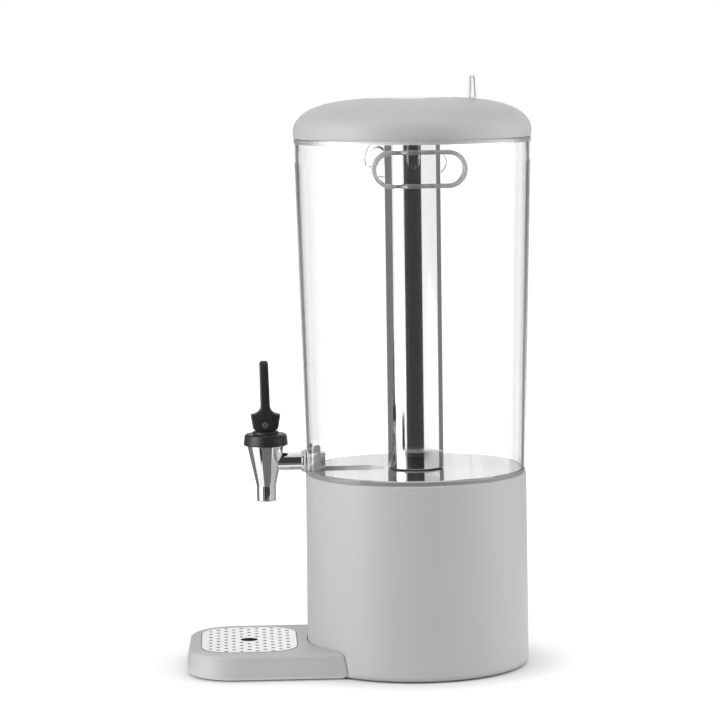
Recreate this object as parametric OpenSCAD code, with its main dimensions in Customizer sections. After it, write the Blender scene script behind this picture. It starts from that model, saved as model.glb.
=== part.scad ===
// Buffet beverage dispenser: a clear tapered tank with a lever tap stands on a round pedestal,
// a drip tray docks in front, and a steel ice tube hangs through a domed lid.
// Millimetres, +Z up. The origin is on the floor on the pedestal's axis; tap and tray point to -X.

/* [Pedestal] */
// Height of the pedestal shell from its lower edge to the ledge that carries the tank
base_h = 176.5; // [140:0.5:220]
// Outer radius of the pedestal at the ledge
base_r = 101; // [90:0.5:115]
// How much wider the pedestal is at the bottom
base_flare = 0.7; // [0:0.1:3]
// Wall of the pedestal shell
base_wall = 3; // [2:0.25:5]
// Rounding of the pedestal's lower edge
base_edge_r = 6; // [5:0.5:9]
// Rounding of the pedestal's upper edge
base_top_edge_r = 1.8; // [0.5:0.1:3]
// Width of the ledge under the tank's edge
ledge_w = 9; // [7:0.5:14]
// Thickness of the deck under the tank
deck_t = 3; // [2:0.25:5]
// Thickness of the plate that closes the pedestal from below
plate_t = 3; // [2.6:0.1:5]
// Gap between the pedestal's lower edge and the floor
foot_h = 0.8; // [0.5:0.1:3]
// Width of the rubber ring that the pedestal stands on
foot_w = 8; // [5:0.5:12]

/* [Tank] */
// Height of the tank from the ledge to its rim
tank_h = 306; // [240:1:380]
// Outer radius of the tank at its rim
tank_top_r = 107.8; // [102:0.2:125]
// How far the tank's lower edge stays inside the pedestal's edge
tank_inset = 0.8; // [0.3:0.1:3]
// Wall of the tank
tank_wall = 3.2; // [2.4:0.1:5]
// Thickness of the tank's floor
floor_t = 4.4; // [3:0.2:8]
// Height of the thicker rim at the mouth
rim_h = 5; // [3:0.5:12]
// How much thicker the rim is than the wall
rim_extra = 1; // [0.5:0.1:2]
// Depth of the locating ring under the tank
spigot_h = 6; // [4:0.5:10]
// Thickness of the locating ring
spigot_t = 4; // [3:0.5:6]
// Wall around the drain channel in the floor
channel_wall = 2.6; // [2:0.1:4]

/* [Grips] */
// Length of a grip ring on the tank's side
grip_l = 83.4; // [70:0.2:110]
// Height of a grip ring
grip_h = 33; // [26:0.5:45]
// Thickness of the grip's rib
grip_t = 3.7; // [2.5:0.1:6]
// How far the grip stands out from the tank
grip_out = 10.5; // [6:0.5:16]
// Distance of the grip's middle below the rim
grip_drop = 24.5; // [22:0.5:60]

/* [Tap] */
// Height of the tap's shank above the ledge
tap_rise = 11.7; // [10:0.1:24]
// Distance of the tap's axis from the flat boss on the tank
tap_out = 35.8; // [32:0.2:60]
// Radius of the shank
shank_r = 8.2; // [7:0.1:10]
// Radius of the waterway in the shank
shank_bore_r = 5; // [3:0.1:6]
// Radius of the shank's flange
flange_r = 10.3; // [9.4:0.1:11]
// Thickness of the shank's flange
flange_t = 2.2; // [1.5:0.1:4]
// Radius of the flat boss on the tank's outside
boss_r = 11.3; // [10.5:0.1:14]
// Thickness of the washers on both sides of the tank's wall
washer_t = 1.2; // [0.8:0.1:2.5]
// Radius of the lock nut over its corners
nut_r = 14; // [12:0.1:16]
// Thickness of the lock nut
nut_t = 6; // [4:0.2:9]
// Length of the shank's end beyond the nut
shank_end = 4.6; // [2:0.2:8]
// Radius at the top of the tap's conical body
cone_r = 17.2; // [15.6:0.1:19]
// Height of the conical body's top above the shank's axis
cone_up = 15.3; // [12:0.1:20]
// Depth of the conical body's lower end below the shank's axis
cone_down = 22; // [18:0.5:34]
// Radius of the spout
spout_r = 9; // [8.2:0.1:10]
// Length of the straight spout
spout_l = 14; // [8:0.5:30]
// Wall of the tap's body
tap_wall = 2.6; // [2:0.1:3]
// Radius of the spout's waterway
spout_bore_r = 5.8; // [4.5:0.1:6]
// Radius of the bonnet at its lower lip
bonnet_r = 20.3; // [18.5:0.1:24]
// Height of the bonnet up to its shoulder
bonnet_h = 10.5; // [9.6:0.1:18]
// Height of the raised pad under the lever
bonnet_pad_h = 2.2; // [0.5:0.1:3]
// Thickness of the bonnet's top
bonnet_top_t = 2.6; // [2:0.1:4]

/* [Lever] */
// Length of the lever above the bonnet
lever_l = 64.2; // [50:0.2:90]
// Thickness of the lever's arm, seen from the side
arm_t = 8.6; // [6:0.1:10]
// Width of the lever, seen from the front
lever_w = 14; // [12:0.2:18]
// Half width of the lever's head at its shoulders
shoulder_w = 13.5; // [12.6:0.1:16]
// Height of the shoulders above the lever's lower face
shoulder_up = 14.8; // [14.2:0.1:20]
// How far the tip of the lever leans outward
lever_lean = 0.9; // [0:0.1:3]
// Height of the pivot pin above the lever's lower face
pin_up = 5.6; // [5.2:0.1:7]
// Radius of the pivot pin
pin_r = 1.6; // [1.2:0.1:1.8]
// Radius of the pin's heads
pin_head_r = 3; // [2.4:0.1:4]
// Radius of the valve stem
stem_r = 2.9; // [2.6:0.1:3.2]
// Wire of the return spring
spring_wire = 1; // [0.6:0.1:1.2]
// Turns of the return spring
spring_turns = 7; // [4:1:9]

/* [Drip tray] */
// Length of the tray from the pedestal to its front, at the floor
tray_l = 110.6; // [95:0.1:150]
// Width of the tray at the floor
tray_w = 153; // [140:1:190]
// Height of the tray
tray_h = 23.3; // [20:0.1:34]
// How much the tray's sides lean inward over their height
tray_draft = 3; // [0:0.25:5]
// Corner radius of the tray at the floor
tray_corner_r = 44; // [36:1:60]
// Rounding of the tray's upper edge
tray_edge_r = 5; // [2:0.5:8]
// Rounding of the tray's lower edge
tray_low_r = 6; // [4.5:0.5:8]
// Wall of the tray
tray_wall = 2.6; // [2:0.2:4]
// Depth of the drip bowl under the grid
bowl_depth = 13; // [8:0.5:16]
// Width of the tongue that docks in the pedestal
tongue_w = 56; // [40:1:70]
// Thickness of the tongue
tongue_t = 4; // [3:0.25:6]

/* [Drip grid] */
// Length of the grid plate, away from the pedestal
grid_l = 86.6; // [74:0.2:110]
// Width of the grid plate
grid_w = 120; // [110:1:140]
// Corner radius of the grid plate
grid_corner_r = 28; // [22:1:36]
// Thickness of the grid plate
grid_t = 1.2; // [0.8:0.1:2]
// Pitch of the drain holes along the diagonals
hole_pitch = 10; // [8:0.25:14]
// Diameter of the drain holes
hole_d = 3.7; // [2:0.1:5]
// Diameter of the finger hole in the middle
finger_d = 16; // [14:0.5:22]

/* [Lid] */
// How far the lid reaches past the tank's rim
lid_overhang = 0.6; // [0.2:0.1:3]
// Height of the lid's upright edge
lid_side_h = 4.6; // [3.6:0.1:10]
// Height of the dome above the upright edge
dome_h = 31; // [26:0.5:45]
// Flatness of the dome's crown: 2 is an ellipse
crown_power = 3.4; // [2.2:0.1:5]
// Steepness of the dome's shoulder: 2 is an ellipse
side_power = 2.3; // [2:0.1:4]
// Wall of the lid
lid_wall = 2.6; // [2:0.1:4]
// Thickness of the liner that closes the lid from below
liner_t = 2.4; // [1.6:0.1:4]
// Depth of the soft seal inside the tank's mouth
seal_h = 4.6; // [3:0.2:8]
// Width of the soft seal
seal_w = 3.4; // [2.4:0.1:5]

/* [Ice tube] */
// Outer radius of the ice tube
tube_r = 25.8; // [20:0.2:29]
// Wall of the ice tube
tube_wall = 1.2; // [0.8:0.1:2]
// Rounding of the ice tube's lower edge
tube_edge_r = 2.5; // [2:0.5:8]
// Gap between the ice tube and the tank's floor
tube_gap = 0.5; // [0.5:0.1:6]
// Radius of the ice tube's collar and of its cap
cap_r = 36; // [33:0.5:42]
// Thickness of the cap
cap_t = 2; // [1.4:0.1:4]
// Depth of the cap's plug in the tube
plug_h = 8; // [4:0.5:14]

/* [Label holder] */
// Height of the label holder above the lid
label_h = 21.2; // [16:0.1:40]
// Width of the label holder
label_w = 40; // [30:1:66]
// Thickness of the label holder at its foot
label_t = 6; // [4:0.1:8]
// Thickness of the label holder at its rounded top
label_top_t = 3.8; // [2.6:0.1:4]
// Thickness of each of its two leaves
leaf_t = 0.9; // [0.6:0.1:1]
// Rounding of the label holder's upper corners
label_corner_r = 6; // [2:0.5:10]
// Distance of the label holder from the lid's middle
label_x = 54.9; // [50:0.1:62]

/* [Hidden] */
$fn = 96;

// Clearances
seat_gap = 0.3;
slip_gap = 0.4;
lever_gap = 0.45;
pin_gap = 0.05;
fit_gap = 0.15;
nut_gap = 1;
cut = 1;

// Colours
grey = "#C3C3C3";
clear = [0.86, 0.9, 0.92, 0.35];
steel = "#D5D7D9";
black = "#2E2E2E";
soft = "#9A9A9A";

// Pedestal levels and radii
base_bottom_r = base_r + base_flare;
ledge_z = foot_h + base_h;
plate_z = foot_h + slip_gap;
plate_r = base_bottom_r - base_edge_r - slip_gap;
groove_h = 1.2;
foot_inset = 4;
foot_r = plate_r - foot_inset;
pillar_r = 6;
pillar_gap = 2;
pillar_at = foot_r - foot_w - pillar_r - pillar_gap;
pillar_h = 25;
web_t = 3;
screw_r = 1.6;
screw_head_r = 3.4;
screw_head_h = 1.8;
screw_l = 12;
screw_count = 4;

// Tank levels and radii
tank_bottom_r = base_r - tank_inset;
// The rim stays wider than the foot, because the tank is drawn out of its mould by the rim
mould_draft = 1.5;
rim_r = max(tank_top_r, tank_bottom_r + mould_draft);
rim_z = ledge_z + tank_h;
floor_z = ledge_z + floor_t;
tap_z = ledge_z + tap_rise;
function tank_r(z) = tank_bottom_r + (rim_r - tank_bottom_r) * (z - ledge_z) / tank_h;
rim_inner_r = rim_r - tank_wall - rim_extra;
floor_r = tank_r(floor_z) - tank_wall;
foot_edge = 0.8;
spigot_r = base_r - ledge_w - slip_gap;
recess_r = base_r - ledge_w;
boss_proud = 0.9;
pad_t = 2.6;
pad_margin = 2;
boss_x = tank_r(tap_z) + boss_proud;
pad_x = tank_r(tap_z) - tank_wall - pad_t;
pad_r = nut_r + pad_margin;
channel_w = 2 * (nut_r + nut_gap);
channel_stop = 4;
channel_step = 1;
channel_z = min(tap_z - nut_r - nut_gap, floor_z - channel_step);
channel_end = tube_r + channel_stop;
channel_low = min(channel_z - channel_wall, ledge_z - channel_step);
deck_z = min(channel_low, ledge_z - spigot_h) - 2 * seat_gap;
grip_y = tank_r(rim_z - grip_drop) + grip_out;

// Tap levels, measured along its own upright axis
tap_x = boss_x + tap_out;
flange_x = boss_x + washer_t;
nut_x = pad_x - washer_t;
shank_tip_x = nut_x - nut_t - shank_end;
washer_inset = 0.6;
body_top_z = tap_z + cone_up;
cone_low_z = tap_z - cone_down;
spout_z = cone_low_z - spout_l;
spout_edge = 0.5;
neck_step = 1.8;
neck_room = 2;
neck_r = cone_r - neck_step;
neck_h = bonnet_h - bonnet_top_t - neck_room;
neck_wall_extra = 1.5;
bonnet_z = body_top_z + fit_gap;
bonnet_deck_z = bonnet_z + bonnet_h;
bonnet_top_z = bonnet_deck_z + bonnet_pad_h;
bonnet_lip_h = 3;
bonnet_lip_edge = 0.6;
bonnet_draft = 0.3;
bonnet_crown_step = 1.1;
bonnet_edge = 2.6;
seat_up = 3;
seat_z = cone_low_z + seat_up;
function cone_at(z) = spout_r + (cone_r - spout_r) * (z - cone_low_z) / (body_top_z - cone_low_z);
chamber_r = cone_at(body_top_z - neck_room) - tap_wall - neck_wall_extra;
cup_gap = 0.5;
cup_r = cone_at(seat_z) - tap_wall - cup_gap;
cup_h = 7;
cup_floor = 3;
cup_edge = 3;
cup_bevel = 1;
stem_collar_t = 2;
stem_collar_z = tap_z - stem_collar_t;
stem_collar_r = 6.2;
spring_r = stem_r + seat_gap + spring_wire;
spring_low = stem_collar_z + stem_collar_t + fit_gap;
spring_high = bonnet_deck_z - bonnet_top_t - fit_gap;

// Lever outline, measured from its pivot pin
lever_z = bonnet_top_z + lever_gap;
pin_z = lever_z + pin_up;
heel_r = 5.2;
heel_x = 6.7;
slot_w = 2 * (stem_r + seat_gap);
slot_l = 14;
slot_room = 2.1;
stem_crown = 0.5;
slot_up = stem_r + slot_room;
stem_top_z = pin_z + stem_r + stem_crown;
pin_head_t = 1;
pin_sink = 0.2;
arm_fillet = 7.2;
head_rise = 0.9;
arm_tip_r = 2;
arm_taper = 0.3;
tip_narrow = 1.5;

// Tray and grid places
tray_front = base_bottom_r + tray_l;
tray_top_z = foot_h + tray_h;
tray_gap = 0.8;
tray_hug_r = base_bottom_r + tray_gap;
corner_x = -tray_front + tray_corner_r;
corner_y = tray_w / 2 - tray_corner_r;
grid_x = -(base_bottom_r + (tray_l - tray_draft) / 2);
grid_proud = 0.2;
grid_gap = 0.7;
grid_z = tray_top_z + grid_proud - grid_t;
ledge_in = 4;
bowl_floor_z = grid_z - seat_gap - bowl_depth;
tongue_up = 3;
window_room = 20;
tongue_z = base_edge_r + foot_h + tongue_up;
tongue_in = 10;
window_l = tongue_in + window_room;
tray_foot_r = 6;
tray_foot_h = 1.6;
column_pitch = hole_pitch / sqrt(2);
row_share = 0.97;
row_pitch = column_pitch * row_share;
hole_margin_x = 7.5;
hole_margin_y = 5;
hole_margin_corner = 4.3;
finger_margin = 1;
tray_foot_wall = 2;
tray_foot_gap = 2;
tray_foot_y = corner_y + tray_corner_r / 3;
tray_foot_reach = tray_hug_r + tray_wall + tray_foot_r + tray_foot_wall + tray_foot_gap;
tray_foot_x = sqrt(pow(tray_foot_reach, 2) - pow(tray_foot_y, 2));

// Lid levels and radii
lid_r = rim_r + lid_overhang;
lid_z = rim_z + seat_gap;
dome_z = lid_z + lid_side_h;
function dome_at(r, wall) =
    dome_z + (dome_h - wall) * pow(1 - pow(r / (lid_r - wall), crown_power), 1 / side_power);
lid_lip = 0.5;
lid_lip_share = 0.7;
liner_up = 0.7;
liner_z = lid_z + liner_up;
liner_r = lid_r - lid_wall - lid_lip - slip_gap;
sleeve_gap = 0.8;
sleeve_r = tube_r + sleeve_gap;
sleeve_t = 2;
gasket_t = 0.8;
collar_t = 1;
cap_proud = 0.3;
recess_depth = gasket_t + collar_t + cap_t + 2 * seat_gap - cap_proud;
lid_recess_r = cap_r + slip_gap;
recess_z = dome_at(cap_r, 0) - recess_depth;
collar_z = recess_z + gasket_t + seat_gap;
cap_z = collar_z + collar_t + seat_gap;
tube_low_z = floor_z + tube_gap;
plug_r = tube_r - tube_wall - seat_gap;
seal_r = rim_inner_r - slip_gap;
liner_boss_at = (sleeve_r + sleeve_t + lid_r) * 0.6;
liner_boss_r = 4;
liner_screw_count = 3;
seal_draft = 0.6;
gasket_inset = 2;
plug_wall = 3;
cap_bevel = 0.4;
cap_edge_r = 0.8;
label_z = dome_at(norm([label_x, label_w / 2]), 0);
label_foot = 2;
label_end = 2;

function arc(x, y, r, from, to, steps = 8) =
    [for (i = [0:steps]) let (a = from + (to - from) * i / steps) [x + r * cos(a), y + r * sin(a)]];

module ring(outer, inner, h) {
    difference() {
        cylinder(r = outer, h = h);
        translate([0, 0, -cut]) cylinder(r = inner, h = h + 2 * cut);
    }
}

// A bar along +X that starts at x and is centred on the shank's axis
module shank_bar(x, l, r, sides = $fn) {
    translate([x, 0, tap_z]) rotate([0, 90, 0]) cylinder(r = r, h = l, $fn = sides);
}

module at_screws(radius, count, turn) {
    for (i = [0:count - 1]) rotate(turn + i * 360 / count) translate([radius, 0, 0]) children();
}

module rounded_plate(l, w, r, h) {
    linear_extrude(h) {
        square([l - 2 * r, w], center = true);
        square([l, w - 2 * r], center = true);
        for (sx = [-1, 1], sy = [-1, 1]) translate([sx * (l / 2 - r), sy * (w / 2 - r)]) circle(r);
    }
}

// Inner outline of the pedestal's wall, from the deck down to the lower edge
function wall_inside(gap) = concat(
    [[base_r - base_wall - gap, deck_z - deck_t]],
    arc(base_bottom_r - base_edge_r, foot_h + base_edge_r, base_edge_r - base_wall - gap, 0, -90, 4)
);

module base_shell() color(grey) difference() {
    rotate_extrude() polygon(concat(
        arc(base_bottom_r - base_edge_r, foot_h + base_edge_r, base_edge_r, -90, 0),
        arc(base_r - base_top_edge_r, ledge_z - base_top_edge_r, base_top_edge_r, 0, 90, 4),
        [[recess_r, ledge_z], [recess_r, deck_z], [0, deck_z], [0, deck_z - deck_t]],
        wall_inside(0)
    ));
    translate([-base_bottom_r - cut, -tongue_w / 2 - slip_gap, tongue_z - slip_gap])
        cube([window_l, tongue_w + 2 * slip_gap, tongue_t + 2 * slip_gap]);
    intersection() {
        channel_shape(channel_wall + slip_gap, deck_z, ledge_z + cut);
        translate([0, 0, deck_z]) cylinder(r = base_r - tank_inset, h = ledge_z);
    }
}

// Screw pillars, with webs that meet the pedestal's wall
module base_pillars() color(grey) difference() {
    intersection() {
        at_screws(pillar_at, screw_count, 45) translate([0, 0, plate_z + plate_t]) {
            cylinder(r = pillar_r, h = pillar_h);
            translate([0, -web_t / 2, 0]) cube([base_r - pillar_at, web_t, pillar_h]);
        }
        rotate_extrude() polygon(concat(
            [[0, foot_h], [0, deck_z - deck_t]],
            wall_inside(pin_gap),
            [[base_bottom_r - base_edge_r, foot_h]]
        ));
    }
    at_screws(pillar_at, screw_count, 45) translate([0, 0, plate_z])
        cylinder(r = screw_r + fit_gap, h = plate_t + screw_l + cut);
}

module base_plate() color(black) difference() {
    translate([0, 0, plate_z]) cylinder(r = plate_r, h = plate_t);
    translate([0, 0, plate_z - cut])
        ring(foot_r + fit_gap, foot_r - foot_w - fit_gap, groove_h + cut);
    at_screws(pillar_at, screw_count, 45) translate([0, 0, plate_z - cut]) {
        cylinder(r = screw_r + fit_gap, h = plate_t + 2 * cut);
        cylinder(r = screw_head_r + slip_gap, h = screw_head_h + cut);
    }
}

module plate_screws() color(steel) at_screws(pillar_at, screw_count, 45) translate([0, 0, plate_z]) {
    cylinder(r = screw_head_r, h = screw_head_h);
    cylinder(r = screw_r, h = plate_t + screw_l);
}

module foot_ring() color(black) ring(foot_r, foot_r - foot_w, plate_z + groove_h);

// Solid with drafted sides and soft edges, over a stretch of plan outline
module tray_edge(run, lift, inset) {
    top = tray_top_z - inset;
    lean = tray_draft * (tray_h - tray_edge_r) / tray_h;
    edge = max(tray_edge_r - inset, 0.5);
    polygon(concat(
        [[0, lift]],
        inset > 0 ? [[run - tray_low_r, lift]] : [],
        arc(run - tray_low_r, foot_h + tray_low_r, tray_low_r - inset, -90, 0, 6),
        arc(run - inset - lean - edge, top - edge, edge, 0, 90, 6),
        [[0, top]]
    ));
}

module tray_solid(lift, inset) {
    for (side = [-1, 1])
        translate([corner_x, side * corner_y, 0]) rotate_extrude() tray_edge(tray_corner_r, lift, inset);
    for (side = [0, 1]) mirror([0, side, 0]) translate([corner_x, corner_y, 0])
        rotate([90, 0, 90]) linear_extrude(-corner_x) {
            tray_edge(tray_corner_r, lift, inset);
            translate([-corner_y, lift]) square([corner_y, tray_top_z - inset - lift]);
        }
    translate([corner_x, -corner_y, 0]) rotate([90, 0, 180]) linear_extrude(2 * corner_y)
        tray_edge(tray_corner_r, lift, inset);
}

module drip_tray() color(grey) difference() {
    union() {
        difference() {
            tray_solid(foot_h, 0);
            cylinder(r = tray_hug_r, h = 2 * tray_h);
            difference() {
                tray_solid(-cut, tray_wall);
                cylinder(r = tray_hug_r + tray_wall, h = 2 * tray_h);
                translate([grid_x, 0, bowl_floor_z - tray_wall]) bowl_plate(tray_wall, tray_h);
                at_tray_feet() cylinder(r = tray_foot_r + tray_foot_wall, h = tray_h);
            }
        }
        translate([-tray_hug_r - tray_wall, -tongue_w / 2, tongue_z])
            cube([tray_wall + tongue_in, tongue_w, tongue_t]);
    }
    translate([grid_x, 0, grid_z - seat_gap])
        rounded_plate(grid_l + 2 * grid_gap, grid_w + 2 * grid_gap, grid_corner_r + grid_gap, tray_h);
    translate([grid_x, 0, bowl_floor_z]) bowl_plate(0, tray_h);
    at_tray_feet() cylinder(r = tray_foot_r + fit_gap, h = tray_foot_h);
}

module bowl_plate(wall, h) {
    rounded_plate(grid_l - 2 * (ledge_in - wall), grid_w - 2 * (ledge_in - wall),
        grid_corner_r - ledge_in + wall, h);
}

module at_tray_feet() {
    for (x = [corner_x - tray_corner_r / 3, -tray_foot_x], side = [-1, 1])
        translate([x, side * tray_foot_y, 0]) children();
}

module tray_feet() color(black) at_tray_feet() cylinder(r = tray_foot_r, h = tray_foot_h);

// Drain holes lie in staggered rows and columns, clear of the edge and of the finger hole
module drip_grid() color(steel) translate([grid_x, 0, grid_z]) difference() {
    rounded_plate(grid_l, grid_w, grid_corner_r, grid_t);
    translate([0, 0, -cut]) {
        cylinder(d = finger_d, h = grid_t + 2 * cut);
        columns = floor((grid_l / 2 - hole_margin_x) / column_pitch);
        rows = floor((grid_w / 2 - hole_margin_y) / row_pitch);
        for (i = [-columns:columns], j = [-rows:rows])
            if ((i + j) % 2 != 0 && drain_place(i * column_pitch, j * row_pitch))
                translate([i * column_pitch, j * row_pitch])
                    cylinder(d = hole_d, h = grid_t + 2 * cut, $fn = 32);
    }
}

function drain_place(x, y) =
    norm([x, y]) > (finger_d + hole_d) / 2 + finger_margin
    && norm([max(abs(x) - grid_l / 2 + grid_corner_r, 0), max(abs(y) - grid_w / 2 + grid_corner_r, 0)])
        < grid_corner_r - hole_margin_corner;

// Drain channel from the tap's nut toward the middle, grown by a wall
module channel_shape(grow, low, high) {
    translate([-pad_x - grow, -channel_w / 2 - grow, low])
        cube([pad_x - channel_end - channel_w / 2 + grow, channel_w + 2 * grow, high - low]);
    translate([-channel_end - channel_w / 2, 0, low]) cylinder(r = channel_w / 2 + grow, h = high - low);
}

module stadium(l, h) {
    square([l - h, h], center = true);
    for (side = [-1, 1]) translate([side * (l - h) / 2, 0]) circle(h / 2);
}

module tank_outside(grow) {
    rotate_extrude() polygon([
        [0, ledge_z], [tank_bottom_r - foot_edge + grow, ledge_z],
        [tank_r(ledge_z + foot_edge) + grow, ledge_z + foot_edge],
        [rim_r + grow, rim_z], [0, rim_z]
    ]);
}

// Ring that stands out from the tank's side
module front_grip() color(clear) difference() {
    root_y = tank_bottom_r - 2 * grip_out;
    translate([0, -root_y, rim_z - grip_drop]) rotate([90, 0, 0])
        linear_extrude(grip_y - root_y) difference() {
            stadium(grip_l, grip_h);
            stadium(grip_l - 2 * grip_t, grip_h - 2 * grip_t);
        }
    tank_outside(pin_gap);
}

module back_grip() {
    mirror([0, 1, 0]) front_grip();
}

module tank_inside() {
    neck_z = rim_z - rim_h - rim_extra;
    rotate_extrude() polygon([
        [0, ledge_z - cut], [floor_r, ledge_z - cut], [floor_r, floor_z],
        [tank_r(neck_z) - tank_wall, neck_z], [rim_inner_r, rim_z - rim_h],
        [rim_inner_r, rim_z + cut], [0, rim_z + cut]
    ]);
}

// Flat pad for the lock nut, from the middle of the tank's wall inward
module nut_pad() {
    root_x = tank_r(tap_z) - tank_wall / 2 - boss_proud;
    intersection() {
        shank_bar(-root_x, root_x - pad_x, pad_r);
        translate([-root_x - cut, -pad_r, floor_z + pin_gap])
            cube([root_x, 2 * pad_r, tap_z]);
    }
}

module shank_hole() {
    shank_bar(-boss_x - cut, boss_x - pad_x + 2 * cut, shank_r + fit_gap);
}

module tank() color(clear) difference() {
    union() {
        difference() {
            union() {
                tank_outside(0);
                shank_bar(-boss_x, boss_x - pad_x, boss_r);
            }
            tank_inside();
        }
        nut_pad();
    }
    shank_hole();
}

// Floor of the tank, with the locating ring under it and the drain channel in it
module tank_floor() color(clear) difference() {
    union() {
        translate([0, 0, ledge_z]) cylinder(r = floor_r - pin_gap, h = floor_t);
        translate([0, 0, ledge_z - spigot_h])
            ring(spigot_r, spigot_r - spigot_t, spigot_h + cut);
        intersection() {
            channel_shape(channel_wall, channel_low, ledge_z + cut);
            translate([0, 0, channel_low]) cylinder(r = floor_r - pin_gap, h = floor_z - channel_low);
        }
    }
    channel_shape(0, channel_z, floor_z + cut);
    shank_hole();
}

module at_tap() {
    translate([-tap_x, 0, 0]) children();
}

module tap_body() color(steel) difference() {
    union() {
        at_tap() rotate_extrude() polygon([
            [0, spout_z], [spout_r - spout_edge, spout_z], [spout_r, spout_z + spout_edge],
            [spout_r, cone_low_z], [cone_r, body_top_z], [neck_r, body_top_z],
            [neck_r, body_top_z + neck_h], [0, body_top_z + neck_h]
        ]);
        shank_bar(-tap_x, tap_x - shank_tip_x, shank_r);
        shank_bar(-flange_x - flange_t, flange_t, flange_r);
    }
    at_tap() rotate_extrude() polygon([
        [0, spout_z - cut], [spout_bore_r, spout_z - cut], [spout_bore_r, seat_z],
        [cone_at(seat_z) - tap_wall, seat_z], [chamber_r, body_top_z - neck_room],
        [chamber_r, body_top_z + neck_h + cut], [0, body_top_z + neck_h + cut]
    ]);
    shank_bar(-tap_x, tap_x, shank_bore_r);
}

module outer_washer() color(soft) difference() {
    shank_bar(-flange_x, washer_t, flange_r);
    shank_bar(-flange_x - cut, washer_t + 2 * cut, shank_r + fit_gap);
}

module inner_washer() color(soft) difference() {
    shank_bar(-pad_x, washer_t, nut_r - washer_inset);
    shank_bar(-pad_x - cut, washer_t + 2 * cut, shank_r + fit_gap);
}

module tap_nut() color(soft) difference() {
    shank_bar(-nut_x, nut_t, nut_r, 6);
    shank_bar(-nut_x - cut, nut_t + 2 * cut, shank_r + fit_gap);
}

module bonnet() color(black) at_tap() difference() {
    crown_r = bonnet_r - bonnet_crown_step;
    pad_edge = heel_x + heel_r;
    rotate_extrude() polygon(concat(
        [[0, bonnet_z], [bonnet_r - bonnet_lip_edge, bonnet_z], [bonnet_r, bonnet_z + bonnet_lip_edge]],
        [[bonnet_r - bonnet_draft, bonnet_z + bonnet_lip_h]],
        arc(crown_r - bonnet_edge, bonnet_deck_z - bonnet_edge, bonnet_edge, 0, 90, 6),
        [[pad_edge, bonnet_deck_z], [pad_edge, bonnet_top_z], [0, bonnet_top_z]]
    ));
    translate([0, 0, bonnet_z - cut]) cylinder(r = neck_r + fit_gap, h = bonnet_h - bonnet_top_t + cut);
    translate([0, 0, bonnet_z]) cylinder(r = stem_r + seat_gap, h = bonnet_top_z - bonnet_z + cut);
}

// Return spring: one unbroken helix between the stem's collar and the bonnet
module stem_spring() color(steel) {
    sides = 6;
    steps = 8;
    rings = steps * spring_turns;
    wire_r = spring_wire / 2;
    rise = spring_high - spring_low - spring_wire;
    echo(spring_gap = rise / spring_turns - spring_wire);
    points = [for (k = [0:rings], s = [0:sides - 1])
        let (turn = 360 * k / steps, a = 360 * s / sides, r = spring_r + wire_r * cos(a))
        [r * cos(turn), r * sin(turn), spring_low + wire_r + rise * k / rings + wire_r * sin(a)]];
    skin = [for (k = [0:rings - 1], s = [0:sides - 1], half = [0, 1])
        let (n = (s + 1) % sides, a = k * sides + s, b = k * sides + n)
        half == 0 ? [a, a + sides, b + sides] : [a, b + sides, b]];
    ends = [for (s = [1:sides - 2], half = [0, 1])
        let (last = rings * sides)
        half == 0 ? [0, s, s + 1] : [last, last + s + 1, last + s]];
    at_tap() polyhedron(points, concat(skin, ends));
}

module valve_stem() color(steel) difference() {
    at_tap() {
        translate([0, 0, seat_z + cup_floor]) cylinder(r = stem_r, h = stem_top_z - seat_z - cup_floor);
        translate([0, 0, stem_collar_z]) cylinder(r = stem_collar_r, h = stem_collar_t);
    }
    pin_bar(pin_r + pin_gap, lever_w);
}

module seat_cup() color(soft) at_tap() difference() {
    low = seat_z + seat_gap;
    rotate_extrude() polygon(concat(
        [[0, low], [cup_r - cup_bevel, low], [cup_r, low + cup_bevel]],
        arc(cup_r - cup_edge, low + cup_h - cup_edge, cup_edge, 0, 90, 4),
        [[0, low + cup_h]]
    ));
    translate([0, 0, seat_z + cup_floor]) cylinder(r = stem_r + pin_gap, h = cup_h);
}

// A bar along Y on the lever's pivot
module pin_bar(r, l) {
    translate([-tap_x, l / 2, pin_z]) rotate([90, 0, 0]) cylinder(r = r, h = l);
}

// Half of the lever's side outline, to +X of the pivot; the tip leans outward
function lever_half(side, tip) = let (
    heel_a = -atan((shoulder_w - heel_x - heel_r) / (shoulder_up - heel_r)),
    arm = arm_t / 2,
    top = tip - pin_up,
    lean = side * lever_lean
) concat(
    arc(heel_x, heel_r - pin_up, heel_r, -90, heel_a, 6),
    [[shoulder_w, shoulder_up - pin_up]],
    arc(arm + arm_fillet, shoulder_up - pin_up + head_rise + arm_fillet, arm_fillet, 250, 180, 5),
    arc(arm - arm_taper - arm_tip_r - lean, top - arm_tip_r, arm_tip_r, 0, 90, 4)
);

module lever_side() {
    right = lever_half(1, lever_l);
    left = [for (p = lever_half(-1, lever_l)) [-p[0], p[1]]];
    polygon(concat(right, [for (i = [len(left) - 1:-1:0]) left[i]]));
}

module lever_front() {
    half = lever_w / 2;
    tip_half = half - tip_narrow;
    top = lever_l - pin_up;
    polygon(concat(
        [[-half, -pin_up - cut], [half, -pin_up - cut], [half, shoulder_up - pin_up]],
        arc(0, top - tip_half, tip_half, 0, 180, 12),
        [[-half, shoulder_up - pin_up]]
    ));
}

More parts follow.
